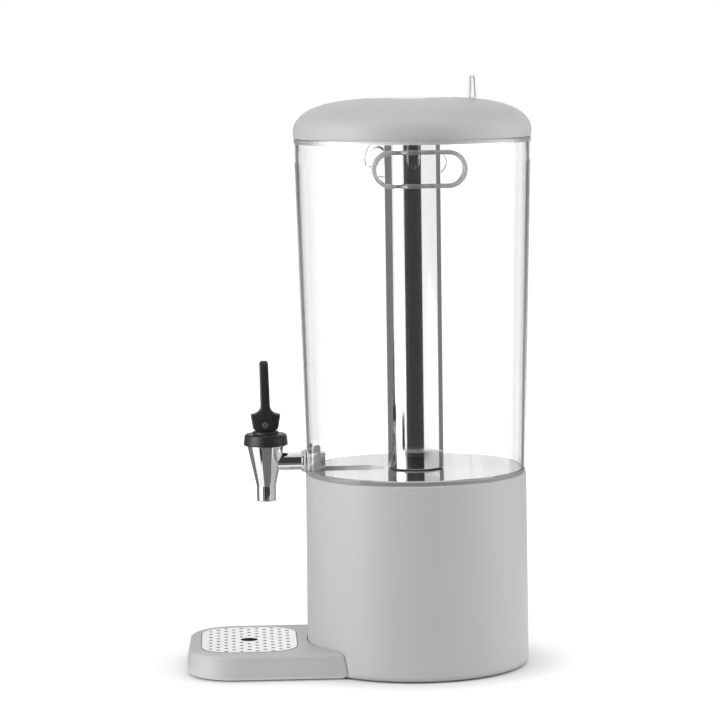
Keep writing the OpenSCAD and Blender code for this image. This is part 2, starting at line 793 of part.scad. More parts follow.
module tap_lever() color(black) difference() {
    translate([-tap_x, 0, pin_z]) intersection() {
        translate([0, lever_w, 0]) rotate([90, 0, 0]) linear_extrude(2 * lever_w) lever_side();
        translate([-2 * shoulder_w, 0, 0]) rotate([90, 0, 90]) linear_extrude(4 * shoulder_w) lever_front();
    }
    translate([-tap_x - slot_l / 2, -slot_w / 2, lever_z - cut])
        cube([slot_l, slot_w, pin_up + slot_up + cut]);
    pin_bar(pin_r + pin_gap, 2 * lever_w);
    for (side = [0, 1]) mirror([0, side, 0])
        translate([-tap_x, -lever_w / 2 + pin_head_t, pin_z]) rotate([90, 0, 0])
            cylinder(r = pin_head_r + pin_gap, h = pin_head_t + cut);
}

module lever_pin() color(steel) {
    pin_bar(pin_r, lever_w - 2 * pin_sink);
    for (side = [0, 1]) mirror([0, side, 0])
        translate([-tap_x, -lever_w / 2 + pin_head_t, pin_z]) rotate([90, 0, 0])
            cylinder(r = pin_head_r, h = pin_head_t - pin_sink);
}

// Dome outline from the upright edge to the middle
function dome_outline(wall, steps = 18) =
    [for (i = [0:steps]) let (a = 90 * i / steps)
        [(lid_r - wall) * pow(cos(a), 2 / crown_power),
            dome_z + (dome_h - wall) * pow(sin(a), 2 / side_power)]];

module dome_solid(wall, low) {
    rotate_extrude() polygon(concat(
        [[0, low], [lid_r - wall - lid_lip, low], [lid_r - wall, low + lid_side_h * lid_lip_share]],
        dome_outline(wall)
    ));
}

module at_liner_screws() {
    at_screws(liner_boss_at, liner_screw_count, 60) children();
}

module label_slot(grow) {
    translate([label_x - label_t / 2 - grow, -label_w / 2 - grow, label_z - label_foot - grow])
        cube([label_t + 2 * grow, label_w + 2 * grow, dome_h]);
}

module lid_shell() color(grey) difference() {
    union() {
        difference() {
            dome_solid(0, lid_z);
            dome_solid(lid_wall, lid_z - cut);
        }
        intersection() {
            dome_solid(0, lid_z);
            union() {
                translate([0, 0, recess_z - lid_wall]) cylinder(r = lid_recess_r + lid_wall, h = dome_h);
                at_liner_screws() translate([0, 0, liner_z + liner_t])
                    cylinder(r = liner_boss_r, h = dome_h);
                label_slot(lid_wall);
            }
        }
    }
    translate([0, 0, recess_z]) cylinder(r = lid_recess_r, h = dome_h);
    translate([0, 0, lid_z]) cylinder(r = sleeve_r, h = 2 * dome_h);
    label_slot(fit_gap);
    at_liner_screws() translate([0, 0, liner_z]) cylinder(r = screw_r + fit_gap, h = screw_l);
}

module lid_liner() color(grey) difference() {
    union() {
        translate([0, 0, liner_z]) cylinder(r = liner_r, h = liner_t);
        translate([0, 0, liner_z])
            cylinder(r = sleeve_r + sleeve_t, h = recess_z - lid_wall - fit_gap - liner_z);
    }
    translate([0, 0, liner_z - cut]) cylinder(r = sleeve_r, h = dome_h + lid_side_h);
    at_liner_screws() translate([0, 0, liner_z - cut])
        cylinder(r = screw_r + fit_gap, h = liner_t + 2 * cut);
}

module liner_screws() color(steel) at_liner_screws() translate([0, 0, liner_z - screw_head_h]) {
    cylinder(r = screw_head_r, h = screw_head_h);
    cylinder(r = screw_r, h = screw_l);
}

module lid_seal() color(clear) translate([0, 0, liner_z - seal_h]) difference() {
    cylinder(r1 = seal_r - seal_draft, r2 = seal_r, h = seal_h);
    translate([0, 0, -cut]) cylinder(r = seal_r - seal_w, h = seal_h + 2 * cut);
}

module collar_gasket() color(soft) translate([0, 0, recess_z])
    ring(cap_r, sleeve_r + gasket_inset, gasket_t);

// Wedge with a round top, drawn in x and z and pulled along y
module label_wedge(inset, low, height, width) {
    half = label_t / 2 - inset;
    translate([0, width / 2, 0]) rotate([90, 0, 0]) linear_extrude(width) polygon(concat(
        [[-half, low], [half, low]],
        arc(0, height - label_top_t / 2, label_top_t / 2 - inset, 0, 180)
    ));
}

// Clear sheet folded over; a card goes between its two leaves from the side
module label_holder() color(clear) translate([label_x, 0, label_z - label_foot]) difference() {
    height = label_h + label_foot;
    intersection() {
        label_wedge(0, 0, height, label_w);
        translate([-label_t, 0, 0]) rotate([90, 0, 90]) linear_extrude(2 * label_t) polygon(concat(
            [[-label_w / 2, -cut], [label_w / 2, -cut]],
            arc(label_w / 2 - label_corner_r, height + cut - label_corner_r, label_corner_r, 0, 90),
            arc(label_corner_r - label_w / 2, height + cut - label_corner_r, label_corner_r, 90, 180)
        ));
    }
    label_wedge(leaf_t, label_foot + label_end, height, label_w + 2 * cut);
}

module ice_tube() color(steel) rotate_extrude() polygon(concat(
    [[0, tube_low_z]],
    arc(tube_r - tube_edge_r, tube_low_z + tube_edge_r, tube_edge_r, -90, 0, 6),
    [[tube_r, collar_z], [cap_r, collar_z], [cap_r, collar_z + collar_t]],
    [[tube_r - tube_wall, collar_z + collar_t]],
    arc(tube_r - tube_edge_r, tube_low_z + tube_edge_r, tube_edge_r - tube_wall, 0, -90, 6),
    [[0, tube_low_z + tube_wall]]
));

module ice_cap() color(steel) rotate_extrude() polygon(concat(
    [[0, cap_z], [cap_r - cap_bevel, cap_z], [cap_r, cap_z + cap_bevel]],
    arc(cap_r - cap_edge_r, cap_z + cap_t - cap_edge_r, cap_edge_r, 0, 90, 4),
    [[0, cap_z + cap_t]]
));

module cap_plug() color(black) translate([0, 0, cap_z - plug_h]) ring(plug_r, plug_r - plug_wall, plug_h);

base_shell();
base_pillars();
base_plate();
plate_screws();
foot_ring();
drip_tray();
tray_feet();
drip_grid();
tank();
tank_floor();
front_grip();
back_grip();
tap_body();
outer_washer();
inner_washer();
tap_nut();
bonnet();
stem_spring();
valve_stem();
seat_cup();
tap_lever();
lever_pin();
lid_shell();
lid_liner();
liner_screws();
lid_seal();
collar_gasket();
label_holder();
ice_tube();
ice_cap();
cap_plug();
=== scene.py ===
# %% [markdown]
# # A buffet beverage dispenser
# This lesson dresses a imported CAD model. The solids arrive as a frame in metres, +Z up, with the tap and the drip tray
# towards -X. Most pieces that a buyer looks at are made again here with soft edges, because a real moulded or turned edge
# is never sharp and its thin highlight is what makes a surface look solid. Hidden pieces keep their CAD mesh and only get
# a material.

# %% Load the frame
import math

import bmesh
import bpy
from mathutils import Matrix, Vector


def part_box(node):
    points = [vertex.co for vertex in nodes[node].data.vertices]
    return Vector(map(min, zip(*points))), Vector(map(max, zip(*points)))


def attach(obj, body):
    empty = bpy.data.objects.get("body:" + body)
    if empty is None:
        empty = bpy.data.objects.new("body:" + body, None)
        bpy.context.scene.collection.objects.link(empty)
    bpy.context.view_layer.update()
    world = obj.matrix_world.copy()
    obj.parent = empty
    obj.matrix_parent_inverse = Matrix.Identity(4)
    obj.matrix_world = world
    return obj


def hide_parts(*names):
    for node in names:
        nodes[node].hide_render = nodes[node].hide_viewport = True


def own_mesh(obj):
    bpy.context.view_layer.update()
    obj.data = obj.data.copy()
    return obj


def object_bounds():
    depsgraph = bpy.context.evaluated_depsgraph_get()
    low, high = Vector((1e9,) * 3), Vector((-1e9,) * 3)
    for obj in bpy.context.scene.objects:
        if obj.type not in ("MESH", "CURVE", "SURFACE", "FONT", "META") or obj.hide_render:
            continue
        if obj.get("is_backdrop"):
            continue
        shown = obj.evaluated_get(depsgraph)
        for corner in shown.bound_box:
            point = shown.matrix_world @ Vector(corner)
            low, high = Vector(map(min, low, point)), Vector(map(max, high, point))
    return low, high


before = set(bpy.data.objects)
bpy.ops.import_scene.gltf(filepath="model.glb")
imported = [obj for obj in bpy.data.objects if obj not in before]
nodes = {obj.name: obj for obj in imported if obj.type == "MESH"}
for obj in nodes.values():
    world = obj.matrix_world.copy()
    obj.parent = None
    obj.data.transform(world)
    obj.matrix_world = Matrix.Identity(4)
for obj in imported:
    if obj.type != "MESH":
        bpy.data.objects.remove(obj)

MM = 0.001
scene = bpy.context.scene
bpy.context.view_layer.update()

# %% [markdown]
# ## The camera
# A product photograph is taken from far away with a long lens, so that upright lines stay nearly parallel. The place and
# the turn below come from fitting the round edges of lid, tank, pedestal and tray. The focal length is known in pixels,
# so the lens in millimetres follows from the sensor's width.

# %% Place the camera
IMAGE_PX = 720
FOCAL_PX = 3181.37
CAMERA_AT = (-0.16762, -2.88671, 0.5798)
heading, pitch, roll = (math.radians(a) for a in (-2.33291, 5.90639, -0.78678))
forward = Vector((-math.sin(heading) * math.cos(pitch), math.cos(heading) * math.cos(pitch), -math.sin(pitch)))
level = Vector((math.cos(heading), math.sin(heading), 0))
above = level.cross(forward)
right = level * math.cos(roll) + above * math.sin(roll)
upward = above * math.cos(roll) - level * math.sin(roll)
camera = bpy.data.objects.new("camera", bpy.data.cameras.new("camera"))
scene.collection.objects.link(camera)
camera.matrix_world = Matrix.Translation(CAMERA_AT) @ Matrix((right, upward, -forward)).transposed().to_4x4()
camera.data.sensor_width = 36
camera.data.lens = FOCAL_PX * camera.data.sensor_width / IMAGE_PX
camera.data.clip_end = 100
scene.camera = camera
print("lens in mm:", round(camera.data.lens, 1))

# %% [markdown]
# ## Helpers for materials
# A material is a small network of nodes. One function adds a node, sets its properties, and either writes a value into
# each named socket or links another node's output to it. Colours are written as the hex values that a screen shows, and
# turned to the linear light that the renderer works in.


# %% Material helpers
def linear(hex_colour):
    """Linear RGBA of an sRGB hex colour."""
    parts = [int(hex_colour[i:i + 2], 16) / 255 for i in (1, 3, 5)]
    return tuple(c / 12.92 if c <= 0.04045 else ((c + 0.055) / 1.055) ** 2.4 for c in parts) + (1.0,)


def add(tree, kind, inputs=None, **settings):
    """Adds one node; each input is a value, another node (its first output) or an output socket."""
    node = tree.nodes.new(kind)
    for name, value in settings.items():
        setattr(node, name, value)
    for name, value in (inputs or {}).items():
        if isinstance(value, bpy.types.Node):
            value = value.outputs[0]
        if isinstance(value, bpy.types.NodeSocket):
            tree.links.new(value, node.inputs[name])
        else:
            node.inputs[name].default_value = value
    return node


def new_material(name):
    """An empty material and its node tree."""
    material = bpy.data.materials.new(name)
    material.use_nodes = True
    material.node_tree.nodes.clear()
    return material, material.node_tree


def per_metre(size_mm):
    """Texture scale that gives a pattern this size."""
    return 1 / (size_mm * MM)


def blend(tree, share, first, second):
    """A colour between two colours."""
    return add(tree, "ShaderNodeMix", {0: share, 6: first, 7: second}, data_type="RGBA").outputs[2]


# %% [markdown]
# ## Moulded grey ABS
# Pedestal, drip tray and lid are injection moulded. The mould is spark eroded, which leaves a fine even grain that takes
# the shine off and spreads the highlight. The real grain is about 0.3 mm; it is drawn at 1.1 mm, or it would not show at
# all. A very slow cloud of lighter and darker grey keeps the large walls from looking printed.


# %% Moulded plastics
def moulded(name, dark, light, roughness, grain_mm, relief_mm):
    """Grained moulded plastic between two close tones."""
    material, tree = new_material(name)
    place = add(tree, "ShaderNodeTexCoord").outputs["Object"]
    cloud = add(tree, "ShaderNodeTexNoise", {"Vector": place, "Scale": per_metre(60), "Detail": 2.0})
    tone = blend(tree, cloud.outputs["Fac"], linear(dark), linear(light))
    grain = add(tree, "ShaderNodeTexNoise", {"Vector": place, "Scale": per_metre(grain_mm), "Detail": 3.0, "Roughness": 0.6})
    shine = add(tree, "ShaderNodeMapRange", {0: grain.outputs["Fac"], 3: roughness - 0.05, 4: roughness + 0.05})
    relief = add(tree, "ShaderNodeBump", {"Height": grain.outputs["Fac"], "Strength": 0.35, "Distance": relief_mm * MM})
    shader = add(tree, "ShaderNodeBsdfPrincipled", {
        "Base Color": tone, "Roughness": shine, "Normal": relief, "IOR": 1.5,
    })
    add(tree, "ShaderNodeOutputMaterial", {"Surface": shader})
    return material


grey_abs = moulded("moulded_grey_abs", "#C1C1C2", "#C6C6C7", 0.46, 1.1, 0.05)
# Glass-filled nylon: nearly black, satin, with a fine grain
black_nylon = moulded("moulded_black_nylon", "#232324", "#2B2B2C", 0.4, 0.9, 0.05)
# Acetal of the lock nut: cool mid grey, slightly waxy
grey_acetal = moulded("moulded_grey_acetal", "#828486", "#8C8E90", 0.38, 0.8, 0.03)
# Rubber of the feet and the plug: dull and dark
black_rubber = moulded("moulded_black_rubber", "#18181A", "#202022", 0.72, 1.6, 0.08)
# Silicone of seals and washers: milky white
white_silicone = moulded("moulded_white_silicone", "#EDEFEF", "#F3F4F4", 0.5, 2, 0.03)
print("moulded:", ", ".join(m.name for m in (grey_abs, black_nylon, grey_acetal, black_rubber, white_silicone)))

# %% [markdown]
# ## Clear plastic
# The tank is a crystal-clear copolyester of a few millimetres. What shows it is not its colour but its edges: a thick rim,
# a floor seen from the side and the grips bend the light away from the bright background and turn grey. A refracting
# shader on a closed shell with a true wall does this by itself. A dark specular tint takes away most of the mirror image
# that each face shows head on, because the photograph's white is overexposed; at a grazing angle the face still mirrors.
# Shadow rays pass straight through. A trace of waviness from the mould keeps reflections from being perfect.
#
# The outer faces of the grips and of the foot, and the rim's left and right ends, are painted satin grey instead of
# clear:
# painted shade for the dark that the bent plastic shows there. The grips' bends are painted lighter than their bars, a
# painted highlight. The drain channel is drawn matt light grey. The flat floor is polished and mirrors strongly at a
# grazing angle; what shows through it there is painted darker, a painted shade.


# %% Clear copolyester
# Sizes of the tank in mm: heights, drain channel, and the radii and half widths that part its faces
FLOOR, RIM, CHANNEL_FLOOR = 181.7, 483.3, 174
PAD_X, CHANNEL_HALF, CHANNEL_X = 94.69, 15.0, 44.8
FOOT_FACE, GRIP_FACE, FLOOR_FLAT = 99, 108.5, 98
BEND_FROM, BEND_TO, END_FROM, END_TO = 24, 37, 74, 96
# How far a face has to look outward, what counts as grazing, and how much of the painted grey layer and of the mirror
# layer shows
OUTWARD, GRAZING, PAINTED_GREY_SHARE, MIRROR_SHARE = 0.4, 0.7, 0.85, 0.75


def maths(tree, how, a, b):
    """One sum or comparison."""
    return add(tree, "ShaderNodeMath", {0: a, 1: b}, operation=how).outputs[0]


def every(tree, mask, *others):
    """Product of masks: 1 only where all of them are 1."""
    for other in others:
        mask = maths(tree, "MULTIPLY", mask, other)
    return mask


def between(tree, value, low_mm, high_mm):
    """1 where a length lies between two limits."""
    return every(tree, maths(tree, "GREATER_THAN", value, low_mm * MM), maths(tree, "LESS_THAN", value, high_mm * MM))


def tank_zones(tree, place):
    """Masks of the outward faces painted grey, the grips, their bends, the channel and the floor seen at a grazing
    angle.
    """
    apart = add(tree, "ShaderNodeSeparateXYZ", {"Vector": place}).outputs
    flat = add(tree, "ShaderNodeCombineXYZ", {"X": apart["X"], "Y": apart["Y"]})
    radius = add(tree, "ShaderNodeVectorMath", {0: flat}, operation="LENGTH").outputs["Value"]
    outward = add(tree, "ShaderNodeVectorMath", {0: flat}, operation="NORMALIZE").outputs["Vector"]
    aside = maths(tree, "ABSOLUTE", apart["X"], 0.0)
    surface = add(tree, "ShaderNodeNewGeometry").outputs
    front = maths(tree, "SUBTRACT", 1.0, surface["Backfacing"])
    facing = add(tree, "ShaderNodeVectorMath", {0: surface["Normal"], 1: outward}, operation="DOT_PRODUCT").outputs["Value"]

    foot = maths(tree, "GREATER_THAN", radius, FOOT_FACE * MM)
    foot = every(tree, foot, maths(tree, "LESS_THAN", apart["Z"], FLOOR * MM))
    grips = maths(tree, "GREATER_THAN", radius, GRIP_FACE * MM)
    bends = add(tree, "ShaderNodeMapRange", {0: aside, 1: BEND_FROM * MM, 2: BEND_TO * MM})
    ends = add(tree, "ShaderNodeMapRange", {0: aside, 1: END_FROM * MM, 2: END_TO * MM})
    ends = every(tree, ends, between(tree, apart["Z"], RIM - 4.4, RIM + 0.1))
    outer = maths(tree, "MAXIMUM", maths(tree, "MAXIMUM", foot, ends), grips)
    outer = every(tree, outer, front, maths(tree, "GREATER_THAN", facing, OUTWARD))

    groove = between(tree, apart["X"], -PAD_X - 0.31, CHANNEL_HALF - CHANNEL_X + 0.8)
    groove = every(tree, front, groove, between(tree, apart["Y"], -CHANNEL_HALF - 0.2, CHANNEL_HALF + 0.2))
    groove = every(tree, groove, between(tree, apart["Z"], CHANNEL_FLOOR - 0.1, FLOOR - 0.1))
    slant = add(tree, "ShaderNodeLayerWeight", {"Blend": 0.5}).outputs["Facing"]
    mirror = every(tree, between(tree, apart["Z"], FLOOR - 0.1, FLOOR + 0.1), front)
    mirror = every(tree, mirror, maths(tree, "GREATER_THAN", slant, GRAZING))
    mirror = every(tree, mirror, maths(tree, "LESS_THAN", radius, FLOOR_FLAT * MM))
    return outer, grips, bends, groove, mirror


def see_through(name, tint, roughness, ior, wave_mm, relief_mm):
    """Refracting plastic whose shadow rays go straight through; some faces of the tank get painted grey shade."""
    material, tree = new_material(name)
    place = add(tree, "ShaderNodeTexCoord").outputs["Object"]
    wave = add(tree, "ShaderNodeTexNoise", {"Vector": place, "Scale": per_metre(wave_mm), "Detail": 1.0})
    relief = add(tree, "ShaderNodeBump", {"Height": wave.outputs["Fac"], "Strength": 0.2, "Distance": relief_mm * MM})
    outer, grips, bends, groove, mirror = tank_zones(tree, place)
    # Where the floor is seen at a grazing angle, what shows through it is painted darker: painted shade
    through = blend(tree, mirror, linear(tint), linear("#808080"))
    body = add(tree, "ShaderNodeBsdfPrincipled", {
        "Base Color": through, "Roughness": roughness, "IOR": ior, "Transmission Weight": 1.0,
        "Normal": relief, "Specular Tint": (0.2, 0.2, 0.2, 1),
    })
    clear = add(tree, "ShaderNodeBsdfTransparent", {"Color": linear(tint)})
    ray = add(tree, "ShaderNodeLightPath")
    # Painted shade and highlight: grip bars darker grey, bends lighter grey, foot and rim ends mid grey, channel light
    # grey
    painted_grip_grey = blend(tree, bends, linear("#78787A"), linear("#A4A4A6"))
    tone = blend(tree, grips, linear("#969698"), painted_grip_grey)
    tone = blend(tree, groove, tone, linear("#D4D4D5"))
    painted_grey = add(tree, "ShaderNodeBsdfPrincipled", {"Base Color": tone, "Roughness": 0.3})
    glossy = add(tree, "ShaderNodeBsdfAnisotropic", {"Color": (0.9, 0.9, 0.9, 1), "Roughness": 0.0})
    # Mask of the painted grey layer: the shaded outward faces and the channel
    matt = maths(tree, "MAXIMUM", outer, groove)
    for mask, share, layer in ((matt, PAINTED_GREY_SHARE, painted_grey), (mirror, MIRROR_SHARE, glossy)):
        share = maths(tree, "MULTIPLY", mask, share)
        body = add(tree, "ShaderNodeMixShader", {0: share, 1: body, 2: layer})
    mix = add(tree, "ShaderNodeMixShader", {0: ray.outputs["Is Shadow Ray"], 1: body, 2: clear})
    add(tree, "ShaderNodeOutputMaterial", {"Surface": mix})
    return material


clear_plastic = see_through("clear_copolyester", "#FEFEFE", 0.0, 1.49, 45, 0.02)
# A thin sheet hardly bends the light, so it is drawn with a weaker index; its grey tint is painted shade, standing in
# for the grey that its leaves show edge on
clear_sheet = see_through("clear_thin_sheet", "#E4E5E6", 0.0, 1.2, 30, 0.02)
print("clear plastics:", clear_plastic.name, clear_sheet.name)

# %% [markdown]
# ## Metals
# The tap is brass with a bright chrome plating, the ice tube and its cap are polished stainless steel, and the grid is
# stainless sheet with a satin finish. They differ only in how far a reflection is smeared. The tube was drawn, which
# leaves faint lines along it; the sheet was ground along its length, and its upright edges and hole walls are painted
# darker, a painted shade. Screws and stem are zinc plated and duller, the rivet is burnished.


# %% Metals
def metal(name, colour, roughness, spread, line_mm, stretch, relief_mm, edge_shade=None):
    """Metal with fine lines; stretch holds their lengths along x, y and z; the last argument is a darker colour painted
    on upright faces, a painted shade.
    """
    material, tree = new_material(name)
    place = add(tree, "ShaderNodeTexCoord").outputs["Object"]
    turned = add(tree, "ShaderNodeMapping", {"Vector": place, "Scale": tuple(1 / s for s in stretch)})
    lines = add(tree, "ShaderNodeTexNoise", {"Vector": turned, "Scale": per_metre(line_mm), "Detail": 3.0})
    shine = add(tree, "ShaderNodeMapRange", {0: lines.outputs["Fac"], 3: roughness - spread, 4: roughness + spread})
    relief = add(tree, "ShaderNodeBump", {"Height": lines.outputs["Fac"], "Strength": 0.15, "Distance": relief_mm * MM})
    normal = add(tree, "ShaderNodeNewGeometry").outputs["Normal"]
    rise = add(tree, "ShaderNodeSeparateXYZ", {"Vector": normal}).outputs["Z"]
    upright = maths(tree, "LESS_THAN", maths(tree, "ABSOLUTE", rise, 0.0), 0.3)
    tone = blend(tree, upright, linear(colour), linear(edge_shade or colour))
    shader = add(tree, "ShaderNodeBsdfPrincipled", {
        "Base Color": tone, "Metallic": 1.0, "Roughness": shine, "Normal": relief,
    })
    add(tree, "ShaderNodeOutputMaterial", {"Surface": shader})
    return material


chrome = metal("chrome_plating", "#E4E5E6", 0.06, 0.02, 6, (1, 1, 1), 0.004)
polished_steel = metal("polished_stainless", "#E2E2E3", 0.09, 0.03, 1.2, (1, 1, 60), 0.002)
# The dark grey on the grid's upright edges and hole walls is painted shade
satin_steel = metal("satin_stainless", "#F2F2F3", 0.34, 0.05, 0.8, (1, 40, 1), 0.004, "#707072")
zinc_steel = metal("zinc_plated_steel", "#A9ABAD", 0.32, 0.06, 1.5, (1, 1, 1), 0.01)
burnished_steel = metal("burnished_steel", "#97999B", 0.5, 0.05, 1.5, (1, 1, 1), 0.01)
print("metals:", ", ".join(m.name for m in (chrome, polished_steel, satin_steel, zinc_steel, burnished_steel)))

# %% [markdown]
# ## Helpers for shapes
# Nearly every piece of this object was turned, extruded or moulded, so four tools are enough: an outline whose corners
# are rounded, a lathe that spins it, a prism that pulls it straight, and a boolean that joins or cuts two closed shapes.
# All sizes are in millimetres until the last step, where a mesh is scaled to metres.


# %% Shape helpers
def rounded(points, steps=6):
    """Closed outline; a third number in a point is the radius of that corner."""
    outline = []
    for i, point in enumerate(points):
        corner = Vector(point[:2])
        if len(point) < 3:
            outline.append(corner)
            continue
        back = (Vector(points[i - 1][:2]) - corner).normalized()
        ahead = (Vector(points[(i + 1) % len(points)][:2]) - corner).normalized()
        half = back.angle(ahead) / 2
        middle = corner + (back + ahead).normalized() * (point[2] / math.sin(half))
        first = corner + back * (point[2] / math.tan(half)) - middle
        last = corner + ahead * (point[2] / math.tan(half)) - middle
        start = math.atan2(first.y, first.x)
        sweep = (math.atan2(last.y, last.x) - start + math.pi) % (2 * math.pi) - math.pi
        outline += [middle + point[2] * Vector((math.cos(a), math.sin(a)))
                    for a in (start + sweep * k / steps for k in range(steps + 1))]
    return outline


def rectangle(low_x, high_x, low_y, high_y):
    """Outline with four sharp corners."""
    return rounded([(low_x, low_y), (high_x, low_y), (high_x, high_y), (low_x, high_y)])


def to_object(bm, place=Matrix()):
    """Closes seams, turns faces outward, scales to metres and makes an object."""
    bmesh.ops.remove_doubles(bm, verts=bm.verts, dist=1e-4)
    bmesh.ops.dissolve_degenerate(bm, edges=bm.edges, dist=1e-5)
    bmesh.ops.recalc_face_normals(bm, faces=bm.faces)
    bmesh.ops.transform(bm, matrix=Matrix.Scale(MM, 4) @ place, verts=bm.verts)
    mesh = bpy.data.meshes.new("shape")
    bm.to_mesh(mesh)
    bm.free()
    obj = bpy.data.objects.new("shape", mesh)
    scene.collection.objects.link(obj)
    return obj


def skin(bm, rows):
    """Faces between rows of vertices; the rows run round, and so does each row."""
    for a, b in zip(rows, rows[1:] + rows[:1]):
        count = max(len(a), len(b))
        for k in range(count):
            n = (k + 1) % count
            corners = [a[k % len(a)], a[n % len(a)], b[n % len(b)], b[k % len(b)]]
            corners = [v for i, v in enumerate(corners) if v not in corners[:i]]
            if len(corners) > 2:
                bm.faces.new(corners)


def spin(outline, place=Matrix(), steps=256):
    """Lathe: a closed outline of radius and height; a point on the axis is a pole."""
    bm = bmesh.new()
    rows = []
    for radius, height in outline:
        around = steps if radius > 1e-6 else 1
        turns = [2 * math.pi * k / around for k in range(around)]
        rows.append([bm.verts.new((radius * math.cos(a), radius * math.sin(a), height)) for a in turns])
    skin(bm, rows)
    return to_object(bm, place)


def prism(outline, low, high, place=Matrix()):
    """Pulls an outline in x and y up from low to high."""
    bm = bmesh.new()
    rows = [[bm.verts.new((x, y, z)) for x, y in outline] for z in (low, high)]
    bm.faces.new(rows[0])
    bm.faces.new(rows[1])
    for k in range(len(outline)):
        n = (k + 1) % len(outline)
        bm.faces.new((rows[0][k], rows[0][n], rows[1][n], rows[1][k]))
    return to_object(bm, place)


def settle(obj):
    """Turns an object's modifiers into its own plain mesh."""
    mesh = bpy.data.meshes.new_from_object(obj.evaluated_get(bpy.context.evaluated_depsgraph_get()))
    obj.modifiers.clear()
    old, obj.data = obj.data, mesh
    bpy.data.meshes.remove(old)
    return obj


def combine(obj, tool, how):
    """Boolean with a second closed shape, which is used up."""
    step = obj.modifiers.new(how, "BOOLEAN")
    step.operation, step.solver, step.object = how, "EXACT", tool
    settle(obj)
    bpy.data.objects.remove(tool)
    return obj


def soften(obj, width, segments=3, angle=40):
    """Bevels the sharp edges."""
    step = obj.modifiers.new("soft edges", "BEVEL")
    step.width, step.segments = width * MM, segments
    step.limit_method, step.angle_limit = "ANGLE", math.radians(angle)
    return settle(obj)


def hand_in(obj, name, material, body, slot, *replaced, sharp=35):
    """Names a finished piece, gives it its finish and hooks it to the frame."""
    obj.name = obj.data.name = name
    obj.data.materials.clear()
    obj.data.materials.append(material)
    obj.data.shade_smooth()
    obj.data.set_sharp_from_angle(angle=math.radians(sharp))
    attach(obj, body)
    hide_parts(*replaced)
    print(name, "has", len(obj.data.polygons), "faces")
    return obj


# %% [markdown]
# ## Pedestal
# The pedestal is a tall moulded cup turned upside down. Its lower edge is generously rounded, the upper edge only just,
# and a sunken deck takes the tank's locating ring and drain channel. A lathe gives the cup, one box cuts the docking
# window for the tray's tongue, and one slot-shaped prism cuts the room for the drain channel.

# %% Pedestal
LEDGE, DECK = 177.3, 170.7
WINDOW_LOW, WINDOW_HIGH, WINDOW_HALF = 9.4, 14.2, 28.4


def channel(grow, low, high):
    """Slot-shaped block from the lock nut towards the middle."""
    half = CHANNEL_HALF + grow
    bend = [(-CHANNEL_X + half * math.sin(a), half * math.cos(a)) for a in (math.pi * k / 32 for k in range(33))]
    return prism(rounded([(-PAD_X - grow, -half), (-PAD_X - grow, half)] + bend), low, high)


pedestal = spin(rounded([
    (95.7, 0.8), (101.7, 0.8, 5.99), (101, LEDGE, 1.8), (92, LEDGE, 0.6), (92, DECK, 0.6), (0, DECK), (0, DECK - 3),
    (98, DECK - 3), (98.7, 3.8, 2.99), (95.7, 3.8),
], 10), steps=320)
window = prism(rectangle(-103, -72, -WINDOW_HALF, WINDOW_HALF), WINDOW_LOW, WINDOW_HIGH)
combine(pedestal, window, "DIFFERENCE")
pocket = channel(3, DECK, LEDGE + 1)
combine(pocket, spin(rectangle(0, 99.2, DECK - 1, LEDGE + 2)), "INTERSECT")
combine(pedestal, pocket, "DIFFERENCE")
hand_in(pedestal, "pedestal_shell", grey_abs, "base", "grey_plastic", "base_shell")

# %% [markdown]
# ## Clear tank
# The tank is one moulding: a slightly tapered cup with a thicker rim, a locating ring under its floor, two ring-shaped
# grips, a flat boss for the tap and a drain channel. A clear piece has to be one closed shell, since every inner face
# would show as a crack. So the parts are cut to end inside the wall and then joined. It stands 0.15 mm above the ledge,
# so that the renderer sees air between clear plastic and pedestal as there really is.

# %% Clear tank
FOOT_R, RIM_R, WALL, AIR = 100.2, 107.8, 3.2, 0.15
GRIP_Z, GRIP_Y, GRIP_RIB, GRIP_BEND, GRIP_STRAIGHT = 458.8, 117.7, 3.7, 14.65, 25.2
TAP_Z, PAD_R, PAD_DROP, SHANK_HOLE = 189.0, 16, 9.5, 8.35
# Turns a prism so that its outline lies in y and z and it is pulled along x
ALONG_X = Matrix(((0, 0, 1, 0), (1, 0, 0, 0), (0, 1, 0, 0), (0, 0, 0, 1)))


def tank_r(z):
    """Outer radius of the tank at a height."""
    return FOOT_R + (RIM_R - FOOT_R) * (z - LEDGE) / (RIM - LEDGE)


def along_x(outline, steps=128):
    """Lathe whose axis runs along +X at the height of the tap's shank."""
    return spin(outline, Matrix.Translation((0, 0, TAP_Z)) @ Matrix.Rotation(math.pi / 2, 4, "Y"), steps)


def half_wall():
    """Solid that ends in the middle of the tank's wall."""
    low, high = LEDGE - 2, RIM + 2
    return spin(rounded([(0, low), (tank_r(low) - WALL / 2, low), (tank_r(high) - WALL / 2, high), (0, high)]), steps=360)


def grip(side):
    """Ring-shaped grip: a rib with soft outer edges, led round a stadium."""
    half = GRIP_RIB / 2
    rib = rounded([(-half, -GRIP_Y, 1.5), (half, -GRIP_Y, 1.5), (half, -95), (-half, -95)], 6)
    path = []
    for end, from_angle in ((1, -90), (-1, 90)):
        path += [(end * GRIP_STRAIGHT, math.radians(from_angle + 180 * k / 32)) for k in range(33)]
    bm = bmesh.new()
    rows = [[bm.verts.new((x + (GRIP_BEND + out) * math.cos(a), side * -y, GRIP_Z + (GRIP_BEND + out) * math.sin(a)))
             for out, y in rib] for x, a in path]
    skin(bm, rows)
    return combine(to_object(bm), half_wall(), "DIFFERENCE")


